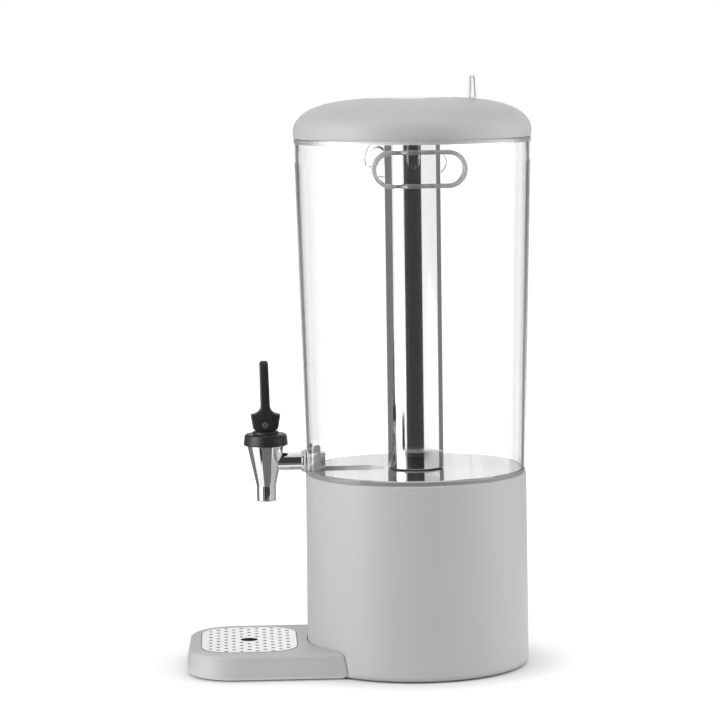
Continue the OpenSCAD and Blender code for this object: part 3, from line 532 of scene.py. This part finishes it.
tank = spin(rounded([
    (0, LEDGE + AIR), (87.6, LEDGE + AIR, 0.5), (87.6, 171.3, 0.8), (91.6, 171.3, 0.8), (91.6, LEDGE + AIR, 0.5),
    (tank_r(LEDGE), LEDGE + AIR, 1.0), (RIM_R, RIM, 0.9), (103.6, RIM, 0.9), (103.6, 480, 2),
    (tank_r(462) - WALL, 462, 4), (tank_r(FLOOR) - WALL, FLOOR, 0.8), (0, FLOOR),
]), steps=360)
combine(tank, channel(2.6, 171.4, LEDGE + 1), "UNION")
boss = along_x(rounded([(0, -101.39), (11.3, -101.39, 0.8), (11.3, -96), (0, -96)]))
combine(tank, combine(boss, half_wall(), "DIFFERENCE"), "UNION")
for side in (-1, 1):
    combine(tank, grip(side), "UNION")
pad_turn = math.asin(PAD_DROP / PAD_R)
pad_turns = [math.pi / 2 + pad_turn - (math.pi + 2 * pad_turn) * k / 64 for k in range(65)]
pad = [Vector((PAD_R * math.sin(a), PAD_R * math.cos(a))) for a in pad_turns]
combine(tank, prism(pad, -98, -PAD_X, Matrix.Translation((0, 0, TAP_Z)) @ ALONG_X), "UNION")
combine(tank, channel(0, CHANNEL_FLOOR, FLOOR + 1), "DIFFERENCE")
combine(tank, along_x(rectangle(0, SHANK_HOLE, -103, -90)), "DIFFERENCE")
hand_in(
    tank, "clear_tank", clear_plastic, "tank", "clear_plastic", "tank", "tank_floor", "front_grip", "back_grip", sharp=28,
)

# %% [markdown]
# ## Lid
# The lid's crown is a superellipse: flatter on top than an ellipse and steeper at the shoulder. One formula gives outer
# and inner skin. The lathe closes the outline through the recess that takes the ice tube's collar, and a box cuts the
# slot for the label holder.

# %% Domed lid
LID_R, LID_Z, DOME_Z, DOME_H, LID_WALL = 108.4, 483.6, 488.2, 31.0, 2.6
RECESS_R, SLEEVE_R = 36.4, 26.6
CROWN_OUT, CROWN_UP = 3.4, 2.3
LABEL_X, LABEL_W, LABEL_T, SLOT_GAP = 54.9, 40.0, 6.0, 0.15
recess_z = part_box("collar_gasket")[0].z / MM


def dome(wall, stop_r, steps=72):
    """Crown outline from the upright edge inward, until it reaches a radius."""
    turns = [math.pi / 2 * k / steps for k in range(steps)]
    wide, tall = LID_R - wall, DOME_H - wall
    points = [(wide * math.cos(a) ** (2 / CROWN_OUT), DOME_Z + tall * math.sin(a) ** (2 / CROWN_UP)) for a in turns]
    return rounded([p for p in points if p[0] > stop_r])


def dome_at(radius, wall):
    """Height of the crown at a radius."""
    return DOME_Z + (DOME_H - wall) * (1 - (radius / (LID_R - wall)) ** CROWN_OUT) ** (1 / CROWN_UP)


ring_r = RECESS_R + LID_WALL
edge = rounded([
    (LID_R - LID_WALL, DOME_Z), (LID_R - LID_WALL - 0.5, LID_Z, 0.3), (LID_R - 0.5, LID_Z, 0.5), (LID_R, LID_Z + 3.2),
    (LID_R, DOME_Z),
])
lip = rounded([
    (RECESS_R + 4, dome_at(RECESS_R + 4, 0)), (RECESS_R, dome_at(RECESS_R, 0), 0.7), (RECESS_R, recess_z, 0.5),
    (SLEEVE_R, recess_z, 0.5), (SLEEVE_R, recess_z - LID_WALL),
])
inner = rounded([(ring_r, recess_z - LID_WALL), (ring_r, dome_at(ring_r, LID_WALL))]) + dome(LID_WALL, ring_r + 0.5)[::-1]
lid = spin(inner + edge[1:-1] + dome(0, RECESS_R + 4.5) + lip, steps=320)
slot_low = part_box("label_holder")[0].z / MM - SLOT_GAP
slot_x, slot_y = LABEL_T / 2 + SLOT_GAP, LABEL_W / 2 + SLOT_GAP
slot = rectangle(LABEL_X - slot_x, LABEL_X + slot_x, -slot_y, slot_y)
combine(lid, prism(slot, slot_low, 530), "DIFFERENCE")
hand_in(lid, "domed_lid", grey_abs, "lid", "grey_plastic", "lid_shell")

# %% [markdown]
# ## Label holder
# A clear sheet folded over, seen edge on in the main view: two leaves that meet in a round bend on top, with a card
# between them. The wedge is drawn in x and z, pulled along y, and its upper corners are rounded by a second prism.

# %% Label holder
LABEL_TOP_T, LEAF = 3.8, 0.9
half_w = LABEL_W / 2
label_low, label_high = (corner.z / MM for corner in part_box("label_holder"))


def wedge(inset, low):
    """Outline of the folded sheet, a distance inside its faces."""
    half, radius, middle = LABEL_T / 2 - inset, LABEL_TOP_T / 2 - inset, label_high - LABEL_TOP_T / 2
    bend = [(radius * math.cos(a), middle + radius * math.sin(a)) for a in (math.pi * k / 20 for k in range(21))]
    return rounded([(-half, low), (half, low)] + bend)


pulled = Matrix.Translation((LABEL_X, 0, 0)) @ Matrix.Rotation(math.pi / 2, 4, "X")
face = rounded([
    (-half_w, label_low - 1), (half_w, label_low - 1), (half_w, label_high + 0.01, 6), (-half_w, label_high + 0.01, 6),
], 10)
label = prism(wedge(0, label_low), -half_w - 1, half_w + 1, pulled)
combine(label, prism(face, LABEL_X - 5, LABEL_X + 5, ALONG_X), "INTERSECT")
combine(label, prism(wedge(LEAF, label_low + 4), -half_w - 2, half_w + 2, pulled), "DIFFERENCE")
hand_in(soften(label, 0.2, 2), "label_plate", clear_sheet, "lid", "clear_plastic", "label_holder")

# %% [markdown]
# ## Ice tube and its cap
# The tube is deep drawn from stainless sheet with a flat collar, and closed by a pressed cap. Both are turned shapes; the
# small radius at each edge is what catches the light.

# %% Ice tube and cap
TUBE_R, TUBE_WALL, CAP_R = 25.8, 1.2, 36.0
tube_low, tube_high = (corner.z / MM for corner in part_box("ice_tube"))
tube = spin(rounded([
    (0, tube_low), (TUBE_R, tube_low, 1.0), (TUBE_R, tube_high - 1, 0.3), (CAP_R, tube_high - 1, 0.3),
    (CAP_R, tube_high, 0.3), (TUBE_R - TUBE_WALL, tube_high, 0.3), (TUBE_R - TUBE_WALL, tube_low + TUBE_WALL, 1.3),
    (0, tube_low + TUBE_WALL),
]))
hand_in(tube, "drawn_ice_tube", polished_steel, "ice_tube", "polished_steel", "ice_tube")
cap_low, cap_high = (corner.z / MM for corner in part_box("ice_cap"))
cap = spin(rounded([(0, cap_low), (CAP_R, cap_low, 0.4), (CAP_R, cap_high, 1.2), (0, cap_high)]))
hand_in(cap, "pressed_cap", polished_steel, "ice_cap", "polished_steel", "ice_cap")

# %% [markdown]
# ## Tap
# The tap is a plated brass turning: a spout, a cone and a shank that goes through the tank's wall. Outside and inside are
# spun separately, so that the waterway is really there and shows from below.

# %% Tap body and bonnet
TAP_X = 137.191
at_tap = Matrix.Translation((-TAP_X, 0, 0))
tap = spin(rounded([
    (0, 153), (9, 153, 0.7), (9, 167, 3), (17.2, 204.3, 0.5), (15.4, 204.3), (15.4, 210.2, 0.4), (0, 210.2),
]), at_tap, 192)
combine(tap, along_x(rounded([(0, -TAP_X), (8.2, -TAP_X), (8.2, -82.9, 0.8), (0, -82.9)])), "UNION")
combine(tap, along_x(rounded([(0, -104.79), (10.3, -104.79, 0.7), (10.3, -102.59, 0.5), (0, -102.59)])), "UNION")
waterway = rounded([(0, 150), (5.8, 150), (5.8, 170), (7, 170), (12.5, 202.3), (12.5, 215), (0, 215)])
combine(tap, spin(waterway, at_tap, 96), "DIFFERENCE")
combine(tap, along_x(rectangle(0, 5, -TAP_X, -80), 96), "DIFFERENCE")
hand_in(tap, "plated_tap", chrome, "tank", "chrome", "tap_body", sharp=30)
bonnet = spin(rounded([
    (15.55, 204.45), (20.3, 204.45, 0.9), (20, 207.45), (19.2, 214.95, 2.6), (11.9, 214.95, 0.6), (11.9, 217.15, 0.6),
    (3.2, 217.15, 0.3), (3.2, 212.35), (15.55, 212.35),
]), at_tap, 192)
hand_in(bonnet, "tap_bonnet", black_nylon, "tank", "black_plastic", "bonnet")

# %% [markdown]
# ## Lever
# The lever is a flat moulding: broad shoulders over the bonnet, a slim arm, a round tip. It is lofted from rounded
# rectangles, one at each height, which gives all four long edges the soft radius of the real moulding. The slot for the
# valve stem and the seat of the rivet are cut afterwards.

# %% Lever and rivet
PIN_Z, LEVER_W, LEVER_LOW, LEVER_TIP = 223.2, 14.0, 217.6, 281.8
SHOULDER, SHOULDER_Z, ARM = 13.5, 232.4, 4.3
HEEL_R, HEEL_X, BEND_R, BEND_Z = 5.2, 6.7, 7.2, 240.5
bend_z = [BEND_Z - BEND_R * math.cos(math.radians(20 + 7 * k)) for k in range(11)]


def lever_reach(z, lean):
    """Half depth of the lever at a height; lean moves the tip outward."""
    heel_z, heel = LEVER_LOW + HEEL_R, HEEL_X + HEEL_R
    if z < heel_z:
        return HEEL_X + math.sqrt(max(HEEL_R ** 2 - (heel_z - z) ** 2, 0))
    if z <= SHOULDER_Z:
        return heel + (SHOULDER - heel) * (z - heel_z) / (SHOULDER_Z - heel_z)
    if z < BEND_Z:
        on_bend = ARM + BEND_R - math.sqrt(BEND_R ** 2 - (BEND_Z - max(z, bend_z[0])) ** 2)
        return SHOULDER + (on_bend - SHOULDER) * min((z - SHOULDER_Z) / (bend_z[0] - SHOULDER_Z), 1)
    return ARM + (lean - 0.3) * (z - BEND_Z) / (LEVER_TIP - BEND_Z)


def lever_width(z):
    """Half width of the lever at a height; the tip is a half circle."""
    tip_half = LEVER_W / 2 - 1.5
    if z <= SHOULDER_Z:
        return LEVER_W / 2
    taper = LEVER_W / 2 - 1.5 * min((z - SHOULDER_Z) / (LEVER_TIP - tip_half - SHOULDER_Z), 1)
    over = max(z - (LEVER_TIP - tip_half), 0)
    return taper * math.sqrt(max(1 - (over / tip_half) ** 2, 0.02))


levels = [LEVER_LOW + d for d in (0, 0.15, 0.5, 1, 1.7, 2.5, 3.3, 4.2, 5.2, 8, 12, 14, 14.5, 14.8, 15, 15.4, 15.8)]
levels += bend_z + [245 + 30 * k / 6 for k in range(7)]
levels += [LEVER_TIP - 5.5 * (1 - math.sin(math.pi / 2 * k / 8)) for k in range(9)]
bm = bmesh.new()
rows = []
for z in levels:
    left, near, wide = lever_reach(z, 0.9), lever_reach(z, -0.9), lever_width(z)
    shrink = 1 - 0.35 * max(z - LEVER_TIP + 2, 0) / 2
    left, near = left * shrink, near * shrink
    radius = min(1.8, wide * 0.9, near * 0.9)
    outline = rounded([(-left, -wide, radius), (near, -wide, radius), (near, wide, radius), (-left, wide, radius)], 5)
    rows.append([bm.verts.new((x - TAP_X, y, z)) for x, y in outline])
for a, b in zip(rows, rows[1:]):
    for k in range(len(a)):
        n = (k + 1) % len(a)
        bm.faces.new((a[k], a[n], b[n], b[k]))
bm.faces.new(rows[0])
bm.faces.new(rows[-1])
lever = to_object(bm)
slot = rectangle(-TAP_X - 7, -TAP_X + 7, -3.2, 3.2)
combine(lever, prism(slot, LEVER_LOW - 1, PIN_Z + 5), "DIFFERENCE")
along_y = Matrix.Translation((-TAP_X, 0, PIN_Z)) @ Matrix.Rotation(math.pi / 2, 4, "X")
for side in (1, -1):
    combine(lever, spin(rectangle(0, 3.1, side * 6, side * 8), along_y, 64), "DIFFERENCE")
combine(lever, spin(rectangle(0, 1.65, -9, 9), along_y, 64), "DIFFERENCE")
hand_in(lever, "tap_handle", black_nylon, "tap_lever", "black_plastic", "tap_lever", sharp=50)
rivet = spin(rounded([
    (0.9, -6.8), (1.3, -6.85, 0.1), (3, -6.8, 0.35), (3, -6), (1.6, -6), (1.6, 6), (3, 6), (3, 6.8, 0.35),
    (1.3, 6.85, 0.1), (0.9, 6.8), (0.9, 5), (0, 5), (0, -5), (0.9, -5),
], 3), along_y, 64)
hand_in(rivet, "lever_rivet", burnished_steel, "tap_lever", "plain_steel", "lever_pin")

# %% [markdown]
# ## Lock nut
# Behind the wall a six-sided nut clamps the shank. Real nuts are chamfered where the corners meet the faces, which is a
# hexagonal prism cut by a cone on each side.

# %% Lock nut
NUT_R = 14
hexagon = [Vector((NUT_R * math.cos(math.pi / 3 * k), NUT_R * math.sin(math.pi / 3 * k))) for k in range(6)]
nut_low, nut_high = (corner.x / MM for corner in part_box("tap_nut"))
nut = prism(hexagon, nut_low, nut_high, Matrix.Translation((0, 0, TAP_Z)) @ Matrix.Rotation(math.pi / 2, 4, "Y"))
cones = rounded([
    (0, nut_low - 0.01), (12.6, nut_low - 0.01), (15, nut_low + 1.3), (15, nut_high - 1.3), (12.6, nut_high + 0.01),
    (0, nut_high + 0.01),
])
combine(nut, along_x(cones), "INTERSECT")
combine(nut, along_x(rectangle(0, SHANK_HOLE, nut_low - 1, nut_high + 1)), "DIFFERENCE")
hand_in(nut, "lock_nut", grey_acetal, "tank", "nut_plastic", "tap_nut")

# %% [markdown]
# ## What repeats: Geometry Nodes
# Holes, screws, feet and the turns of a spring repeat by a rule, so each is one node tree with its sizes as named inputs.
# A host mesh brings the places as loose points. The tree instances one shape on them, makes the instances real and sets
# the material; then the result becomes a plain mesh, because an export can't carry instances.


# %% Geometry Nodes helpers
def new_tree(name, **sizes):
    """A tree with a geometry input, a geometry output and one number input per size."""
    tree = bpy.data.node_groups.new(name, "GeometryNodeTree")
    tree.is_modifier = True
    tree.interface.new_socket("Geometry", in_out="INPUT", socket_type="NodeSocketGeometry")
    tree.interface.new_socket("Geometry", in_out="OUTPUT", socket_type="NodeSocketGeometry")
    for label in sizes:
        tree.interface.new_socket(label, in_out="INPUT", socket_type="NodeSocketFloat")
    return tree, add(tree, "NodeGroupInput").outputs


def joined(tree, *parts):
    """One geometry from several."""
    join = add(tree, "GeometryNodeJoinGeometry")
    for part in parts:
        tree.links.new(part.outputs[0], join.inputs[0])
    return join


def lifted(tree, shape, height, start=0.0):
    """Moves a centred shape up, so that it stands at a height."""
    middle = add(tree, "ShaderNodeMath", {0: height, 1: 0.5, 2: start}, operation="MULTIPLY_ADD")
    up = add(tree, "ShaderNodeCombineXYZ", {"Z": middle})
    return add(tree, "GeometryNodeTransform", {"Geometry": shape, "Translation": up})


def close_tree(tree, geometry, material):
    """Ends a tree: instances become real and the finish is set."""
    real = add(tree, "GeometryNodeRealizeInstances", {"Geometry": geometry})
    dressed = add(tree, "GeometryNodeSetMaterial", {"Geometry": real, "Material": material})
    add(tree, "NodeGroupOutput", {0: dressed})


def grown(tree, places, **sizes):
    """Runs a tree on loose points, in millimetres, and returns a plain object in metres."""
    mesh = bpy.data.meshes.new("places")
    mesh.from_pydata([Vector(p) * MM for p in places], [], [])
    obj = bpy.data.objects.new("grown", mesh)
    scene.collection.objects.link(obj)
    step = obj.modifiers.new("grow", "NODES")
    step.node_group = tree
    for item in tree.interface.items_tree:
        if item.in_out == "INPUT" and item.name in sizes:
            step[item.identifier] = float(sizes[item.name]) * MM
    settle(obj)
    bm = bmesh.new()
    bm.from_mesh(obj.data)
    bmesh.ops.remove_doubles(bm, verts=bm.verts, dist=2e-6)
    bmesh.ops.recalc_face_normals(bm, faces=bm.faces)
    bm.to_mesh(obj.data)
    bm.free()
    return obj


# %% [markdown]
# ## Drip grid
# The grid is stamped sheet: a rounded plate, drain holes in staggered rows and columns, and one larger hole for a finger.
# The tree draws the outline and every hole as curves, fills what lies between them and pulls the sheet to its thickness.

# %% Drip grid
GRID_X, GRID_L, GRID_W, GRID_CORNER, HOLE_D, FINGER_D = -155.5, 86.6, 120.0, 28.0, 3.7, 16.0
grid_low, grid_high = (corner.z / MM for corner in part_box("drip_grid"))
grid_sizes = {
    "Length": GRID_L, "Width": GRID_W, "Corner": GRID_CORNER, "Hole": HOLE_D / 2, "Finger": FINGER_D / 2,
    "Sheet": grid_high - grid_low,
}
sheet, size = new_tree("perforated_sheet", **grid_sizes)
border = add(sheet, "GeometryNodeCurvePrimitiveQuadrilateral", {"Width": size["Length"], "Height": size["Width"]})
fillet = {"Curve": border, "Count": 16, "Radius": size["Corner"]}
border = add(sheet, "GeometryNodeFilletCurve", fillet, mode="POLY")
drain = add(sheet, "GeometryNodeCurvePrimitiveCircle", {"Resolution": 20, "Radius": size["Hole"]})
drains = add(sheet, "GeometryNodeInstanceOnPoints", {"Points": size["Geometry"], "Instance": drain})
finger = add(sheet, "GeometryNodeCurvePrimitiveCircle", {"Resolution": 64, "Radius": size["Finger"]})
drawing = joined(sheet, border, drains, finger)
drawing = add(sheet, "GeometryNodeRealizeInstances", {"Geometry": drawing})
flat = add(sheet, "GeometryNodeFillCurve", {"Curve": drawing})
thick = add(sheet, "GeometryNodeExtrudeMesh", {"Mesh": flat, "Offset Scale": size["Sheet"], "Individual": False})
under = add(sheet, "GeometryNodeFlipFaces", {"Mesh": flat})
close_tree(sheet, joined(sheet, thick, under), satin_steel)

HOLE_MARGIN = 4.3
column_mm = 10 / math.sqrt(2)
row_mm = column_mm * 0.97
holes = []
for i in range(-5, 6):
    for j in range(-8, 9):
        x, y = i * column_mm, j * row_mm
        past = math.hypot(max(abs(x) - GRID_L / 2 + GRID_CORNER, 0), max(abs(y) - GRID_W / 2 + GRID_CORNER, 0))
        if (i + j) % 2 and math.hypot(x, y) > (FINGER_D + HOLE_D) / 2 + 1 and past < GRID_CORNER - HOLE_MARGIN:
            holes.append((x, y, 0))
grid = grown(sheet, holes, **grid_sizes)
grid.data.transform(Matrix.Translation(Vector((GRID_X, 0, grid_low)) * MM))
hand_in(grid, "perforated_grid", satin_steel, "drip_grid", "polished_steel", "drip_grid")
print(len(holes), "drain holes; grid box", [round(v / MM, 2) for v in (*grid.bound_box[0], *grid.bound_box[6])])

# %% [markdown]
# ## Screws
# Two sets of pan-head screws face downward: four close the pedestal, three hold the lid's liner. One tree makes a head,
# a shank and a cross recess, and puts a screw on each point.

# %% Screws
screw_sizes = {
    "Head radius": 3.4, "Head height": 1.8, "Shank radius": 1.6, "Shank length": 13.2, "Recess length": 4.0,
    "Recess width": 0.9,
}
screws, size = new_tree("pan_head_screws", **screw_sizes)
head = add(screws, "GeometryNodeMeshCylinder", {"Vertices": 40, "Radius": size["Head radius"], "Depth": size["Head height"]})
head = lifted(screws, head, size["Head height"])
for x, y in (("Recess length", "Recess width"), ("Recess width", "Recess length")):
    bar = add(screws, "ShaderNodeCombineXYZ", {"X": size[x], "Y": size[y], "Z": size["Head height"]})
    bar = add(screws, "GeometryNodeMeshCube", {"Size": bar})
    cutter = add(screws, "GeometryNodeMeshBoolean", {0: head}, operation="DIFFERENCE")
    screws.links.new(bar.outputs[0], cutter.inputs[1])
    head = cutter
rod = {"Vertices": 24, "Radius": size["Shank radius"], "Depth": size["Shank length"]}
shank = add(screws, "GeometryNodeMeshCylinder", rod)
screw = joined(screws, head, lifted(screws, shank, size["Shank length"], size["Head height"]))
planted = add(screws, "GeometryNodeInstanceOnPoints", {"Points": size["Geometry"], "Instance": screw})
close_tree(screws, planted, zinc_steel)

for node, body, name, count, turn, radius in (
    ("plate_screws", "base", "base_screws", 4, 45, 75.3),
    ("liner_screws", "lid", "lid_screws", 3, 60, 82.2),
):
    low, high = (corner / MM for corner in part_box(node))
    ring = [math.radians(turn + 360 * k / count) for k in range(count)]
    screw_sizes["Shank length"] = high.z - low.z - screw_sizes["Head height"]
    made = grown(screws, [(radius * math.cos(a), radius * math.sin(a), low.z) for a in ring], **screw_sizes)
    hand_in(made, name, zinc_steel, body, "plain_steel", node)

# %% [markdown]
# ## Rubber feet
# The tray stands on four small feet with a rounded rim. They are plain discs on points, and a bevel rounds them.

# %% Rubber feet
foot_sizes = {"Radius": 6.0, "Height": 1.6}
feet, size = new_tree("rubber_feet", **foot_sizes)
disc = add(feet, "GeometryNodeMeshCylinder", {"Vertices": 48, "Radius": size["Radius"], "Depth": size["Height"]})
disc = lifted(feet, disc, size["Height"])
standing = add(feet, "GeometryNodeInstanceOnPoints", {"Points": size["Geometry"], "Instance": disc})
close_tree(feet, standing, black_rubber)
low, high = (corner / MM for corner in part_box("tray_feet"))
foot_y = high.y - foot_sizes["Radius"]
foot_x = (low.x + foot_sizes["Radius"], high.x - foot_sizes["Radius"])
made = grown(feet, [(x, y, 0) for x in foot_x for y in (-foot_y, foot_y)], **foot_sizes)
hand_in(soften(made, 0.4, 2), "tray_rubber_feet", black_rubber, "drip_tray", "rubber", "tray_feet")

# %% [markdown]
# ## Return spring
# The spring in the bonnet is a round wire on a helix. It shortens when the stem is lifted.

# %% Return spring
spring_low, spring_high = (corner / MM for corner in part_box("stem_spring"))
spring_sizes = {"Coil": 4.2, "Rise": spring_high.z - spring_low.z - 1, "Wire": 0.5}
coil, size = new_tree("return_spring", **spring_sizes)
helix = add(coil, "GeometryNodeCurveSpiral", {
    "Resolution": 24, "Rotations": 7.0, "Start Radius": size["Coil"], "End Radius": size["Coil"], "Height": size["Rise"],
})
wire = add(coil, "GeometryNodeCurvePrimitiveCircle", {"Resolution": 10, "Radius": size["Wire"]})
sweep = {"Curve": helix, "Profile Curve": wire, "Fill Caps": True}
wound = add(coil, "GeometryNodeCurveToMesh", sweep)
close_tree(coil, wound, zinc_steel)
spring = grown(coil, [(0, 0, 0)], **spring_sizes)
spring.data.transform(Matrix.Translation(Vector((-TAP_X, 0, spring_low.z + 0.5)) * MM))
hand_in(spring, "wound_spring", zinc_steel, "tank", "plain_steel", "stem_spring")
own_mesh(spring)

# %% [markdown]
# ## Pieces that keep their CAD shape
# These are plain or hidden, and their solids are already right, so they only get a finish.

# %% Finishes on CAD meshes
for material, names in (
    (grey_abs, ("base_pillars", "drip_tray", "lid_liner")),
    (black_nylon, ("base_plate",)),
    (black_rubber, ("foot_ring", "cap_plug")),
    (zinc_steel, ("valve_stem",)),
    (white_silicone, ("outer_washer", "inner_washer", "seat_cup", "lid_seal", "collar_gasket")),
):
    for name in names:
        for place in nodes[name].material_slots:
            place.material = material
    print(material.name, "on", ", ".join(names))

# %% [markdown]
# ## White room
# The photograph is a pack shot on white. World and floor are white to the camera, in reflections and through clear plastic,
# and give a weaker even light to matt surfaces. The floor darkens only where the part stands close to it. It is overexposed
# and throws light back under the drip tray, which keeps the tray's lower edge from turning black.

# %% World and floor
AMBIENT, PAPER, GLOW, BOUNCE = 0.35, 0.8, 0.74, 0.5
SHADOW_REACH, PEDESTAL_REACH, BRIGHT_FROM, BRIGHT_TO = 0.055, 0.1, 0.3, 1.0
FLOOR_HALF = 2e4


def showing_rays(tree):
    """1 for rays that show a surface (seen, mirrored or looked through), 0 for rays that light it."""
    ray = add(tree, "ShaderNodeLightPath").outputs
    direct = maths(tree, "MAXIMUM", ray["Is Camera Ray"], ray["Is Glossy Ray"])
    return maths(tree, "MAXIMUM", direct, ray["Is Transmission Ray"])


world = bpy.data.worlds.new("white_studio")
scene.world = world
world.use_nodes = True
world.node_tree.nodes.clear()
shown = showing_rays(world.node_tree)
strength = add(world.node_tree, "ShaderNodeMath", {0: shown, 1: 1 - AMBIENT, 2: AMBIENT}, operation="MULTIPLY_ADD")
sky = add(world.node_tree, "ShaderNodeBackground", {"Color": (1, 1, 1, 1), "Strength": strength})
add(world.node_tree, "ShaderNodeOutputWorld", {"Surface": sky})

paper, tree = new_material("white_paper_floor")
shown = showing_rays(tree)
open_sky = add(tree, "ShaderNodeAmbientOcclusion", {"Distance": SHADOW_REACH}, samples=16).outputs["AO"]
place = add(tree, "ShaderNodeTexCoord").outputs["Object"]
away = add(tree, "ShaderNodeVectorMath", {0: place}, operation="LENGTH").outputs["Value"]
ramp = {0: away, 1: BRIGHT_FROM, 2: BRIGHT_TO, 3: GLOW, 4: 1.0}
level = add(tree, "ShaderNodeMapRange", ramp, interpolation_type="SMOOTHSTEP")
glow = every(tree, open_sky, level, shown)
tray_low, tray_high = (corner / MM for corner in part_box("drip_tray"))
spot = add(tree, "ShaderNodeSeparateXYZ", {"Vector": place}).outputs
under = every(tree, between(tree, spot["X"], tray_low.x - 2, -55), between(tree, spot["Y"], tray_low.y - 2, tray_high.y + 2))
under = every(tree, under, maths(tree, "GREATER_THAN", away, PEDESTAL_REACH))
bounce = every(tree, under, BOUNCE, maths(tree, "SUBTRACT", 1.0, shown))
glow = add(tree, "ShaderNodeEmission", {"Strength": maths(tree, "ADD", glow, bounce)})
white = add(tree, "ShaderNodeMath", {0: shown, 1: -PAPER / 2, 2: PAPER}, operation="MULTIPLY_ADD")
matt = add(tree, "ShaderNodeBsdfDiffuse", {"Color": white})
lit = add(tree, "ShaderNodeAddShader", {0: glow, 1: matt})
add(tree, "ShaderNodeOutputMaterial", {"Surface": lit})
floor = prism(rectangle(-FLOOR_HALF, FLOOR_HALF, -FLOOR_HALF, FLOOR_HALF), -10, 0)
floor.name = "paper_floor"
floor.data.materials.append(paper)
floor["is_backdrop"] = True
print("world and floor are white; ambient light", AMBIENT)

# %% [markdown]
# ## Cards
# Metal and clear plastic show only what stands round them: a white softbox on the left, a dark camera side, and dark cards
# left and right behind, which draw the dark lines in the tube and along the tank's edges. The cards stand close, because a
# camera that looks down a little sees the floor in every upright mirror beyond that. They are marked as stage and neither
# light nor shade anything. The camera doesn't see them, and not straight through the clear tank either: a ray that still
# runs along the line of sight passes through a card.

# %% Cards
SIGHT_CONE = math.radians(8)


def card(name, colour, from_turn, to_turn, profile, steps=24):
    """Curved card; turns are degrees to the right of the camera, the profile holds reach and height in mm."""
    material, tree = new_material(name + "_cloth")
    dull = add(tree, "ShaderNodeEmission", {"Color": linear(colour), "Strength": 1.0})
    seen = add(tree, "ShaderNodeVectorTransform", {"Vector": add(tree, "ShaderNodeCameraData").outputs["View Vector"]},
               vector_type="VECTOR", convert_from="CAMERA", convert_to="WORLD").outputs[0]
    back = add(tree, "ShaderNodeNewGeometry").outputs["Incoming"]
    along = add(tree, "ShaderNodeVectorMath", {0: seen, 1: back}, operation="DOT_PRODUCT").outputs["Value"]
    straight = maths(tree, "LESS_THAN", along, -math.cos(SIGHT_CONE))
    gone = add(tree, "ShaderNodeBsdfTransparent")
    cloth = add(tree, "ShaderNodeMixShader", {0: straight, 1: dull, 2: gone})
    add(tree, "ShaderNodeOutputMaterial", {"Surface": cloth})
    bm = bmesh.new()
    columns = []
    for k in range(steps + 1):
        a = math.radians(from_turn + (to_turn - from_turn) * k / steps)
        columns.append([bm.verts.new((reach * math.sin(a), -reach * math.cos(a), height)) for reach, height in profile])
    for a, b in zip(columns, columns[1:]):
        for n in range(len(profile) - 1):
            bm.faces.new((a[n], a[n + 1], b[n + 1], b[n]))
    obj = to_object(bm)
    obj.name = name
    obj.data.materials.append(material)
    obj.visible_camera = obj.visible_diffuse = obj.visible_shadow = False
    obj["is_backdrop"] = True


card("front_card", "#424242", -39, 31, [(620, 1), (620, 1300)])
card("front_mat", "#787878", -46, 24, [(230, 1), (620, 1)])
card("left_back_card", "#868686", -157, -95, [(700, 1), (700, 900)])
card("left_back_mat", "#787878", -150, -95, [(210, 1), (700, 1)])
card("right_back_card", "#868686", 107, 150, [(700, 1), (700, 900)])
card("left_high_card", "#484848", -155, -80, [(700, 900), (330, 1300)])
card("right_high_card", "#484848", 80, 155, [(700, 900), (330, 1300)])
card("tap_card", "#303030", -58, -47, [(400, 50), (400, 140)])

# %% [markdown]
# ## Softboxes
# Three large lamps give matt surfaces their shading: left, right and above. Only the left one shows in mirrors, as the white
# strip on tube and tap.

# %% Softboxes
MIDDLE = Vector((0, 0, 0.27))


def softbox(name, turn, rise, reach, wide, high, watts, mirrored):
    """Area lamp that looks at the object's middle."""
    lamp = bpy.data.lights.new(name, "AREA")
    lamp.shape, lamp.size, lamp.size_y, lamp.energy = "RECTANGLE", wide, high, watts
    obj = bpy.data.objects.new(name, lamp)
    scene.collection.objects.link(obj)
    a, e = math.radians(turn), math.radians(rise)
    away = Vector((math.sin(a) * math.cos(e), -math.cos(a) * math.cos(e), math.sin(e)))
    obj.location = MIDDLE + away * reach
    obj.rotation_euler = away.to_track_quat("Z", "Y").to_euler()
    obj.visible_camera = False
    obj.visible_glossy = obj.visible_transmission = mirrored


softbox("left_softbox", -66, 12, 1.6, 1.0, 1.4, 16, True)
softbox("right_softbox", 80, 12, 1.6, 1.0, 1.4, 14, False)
softbox("top_softbox", 0, 80, 1.8, 1.4, 1.4, 10, False)
scene.view_settings.view_transform = "Standard"
print("studio ready")

# %% [markdown]
# The dressed object must fill the same box as the CAD model, so its box is printed.

# %% Write the sizes and finish
low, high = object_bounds()
print("visual box in mm:", [round(v / MM, 1) for v in high - low])
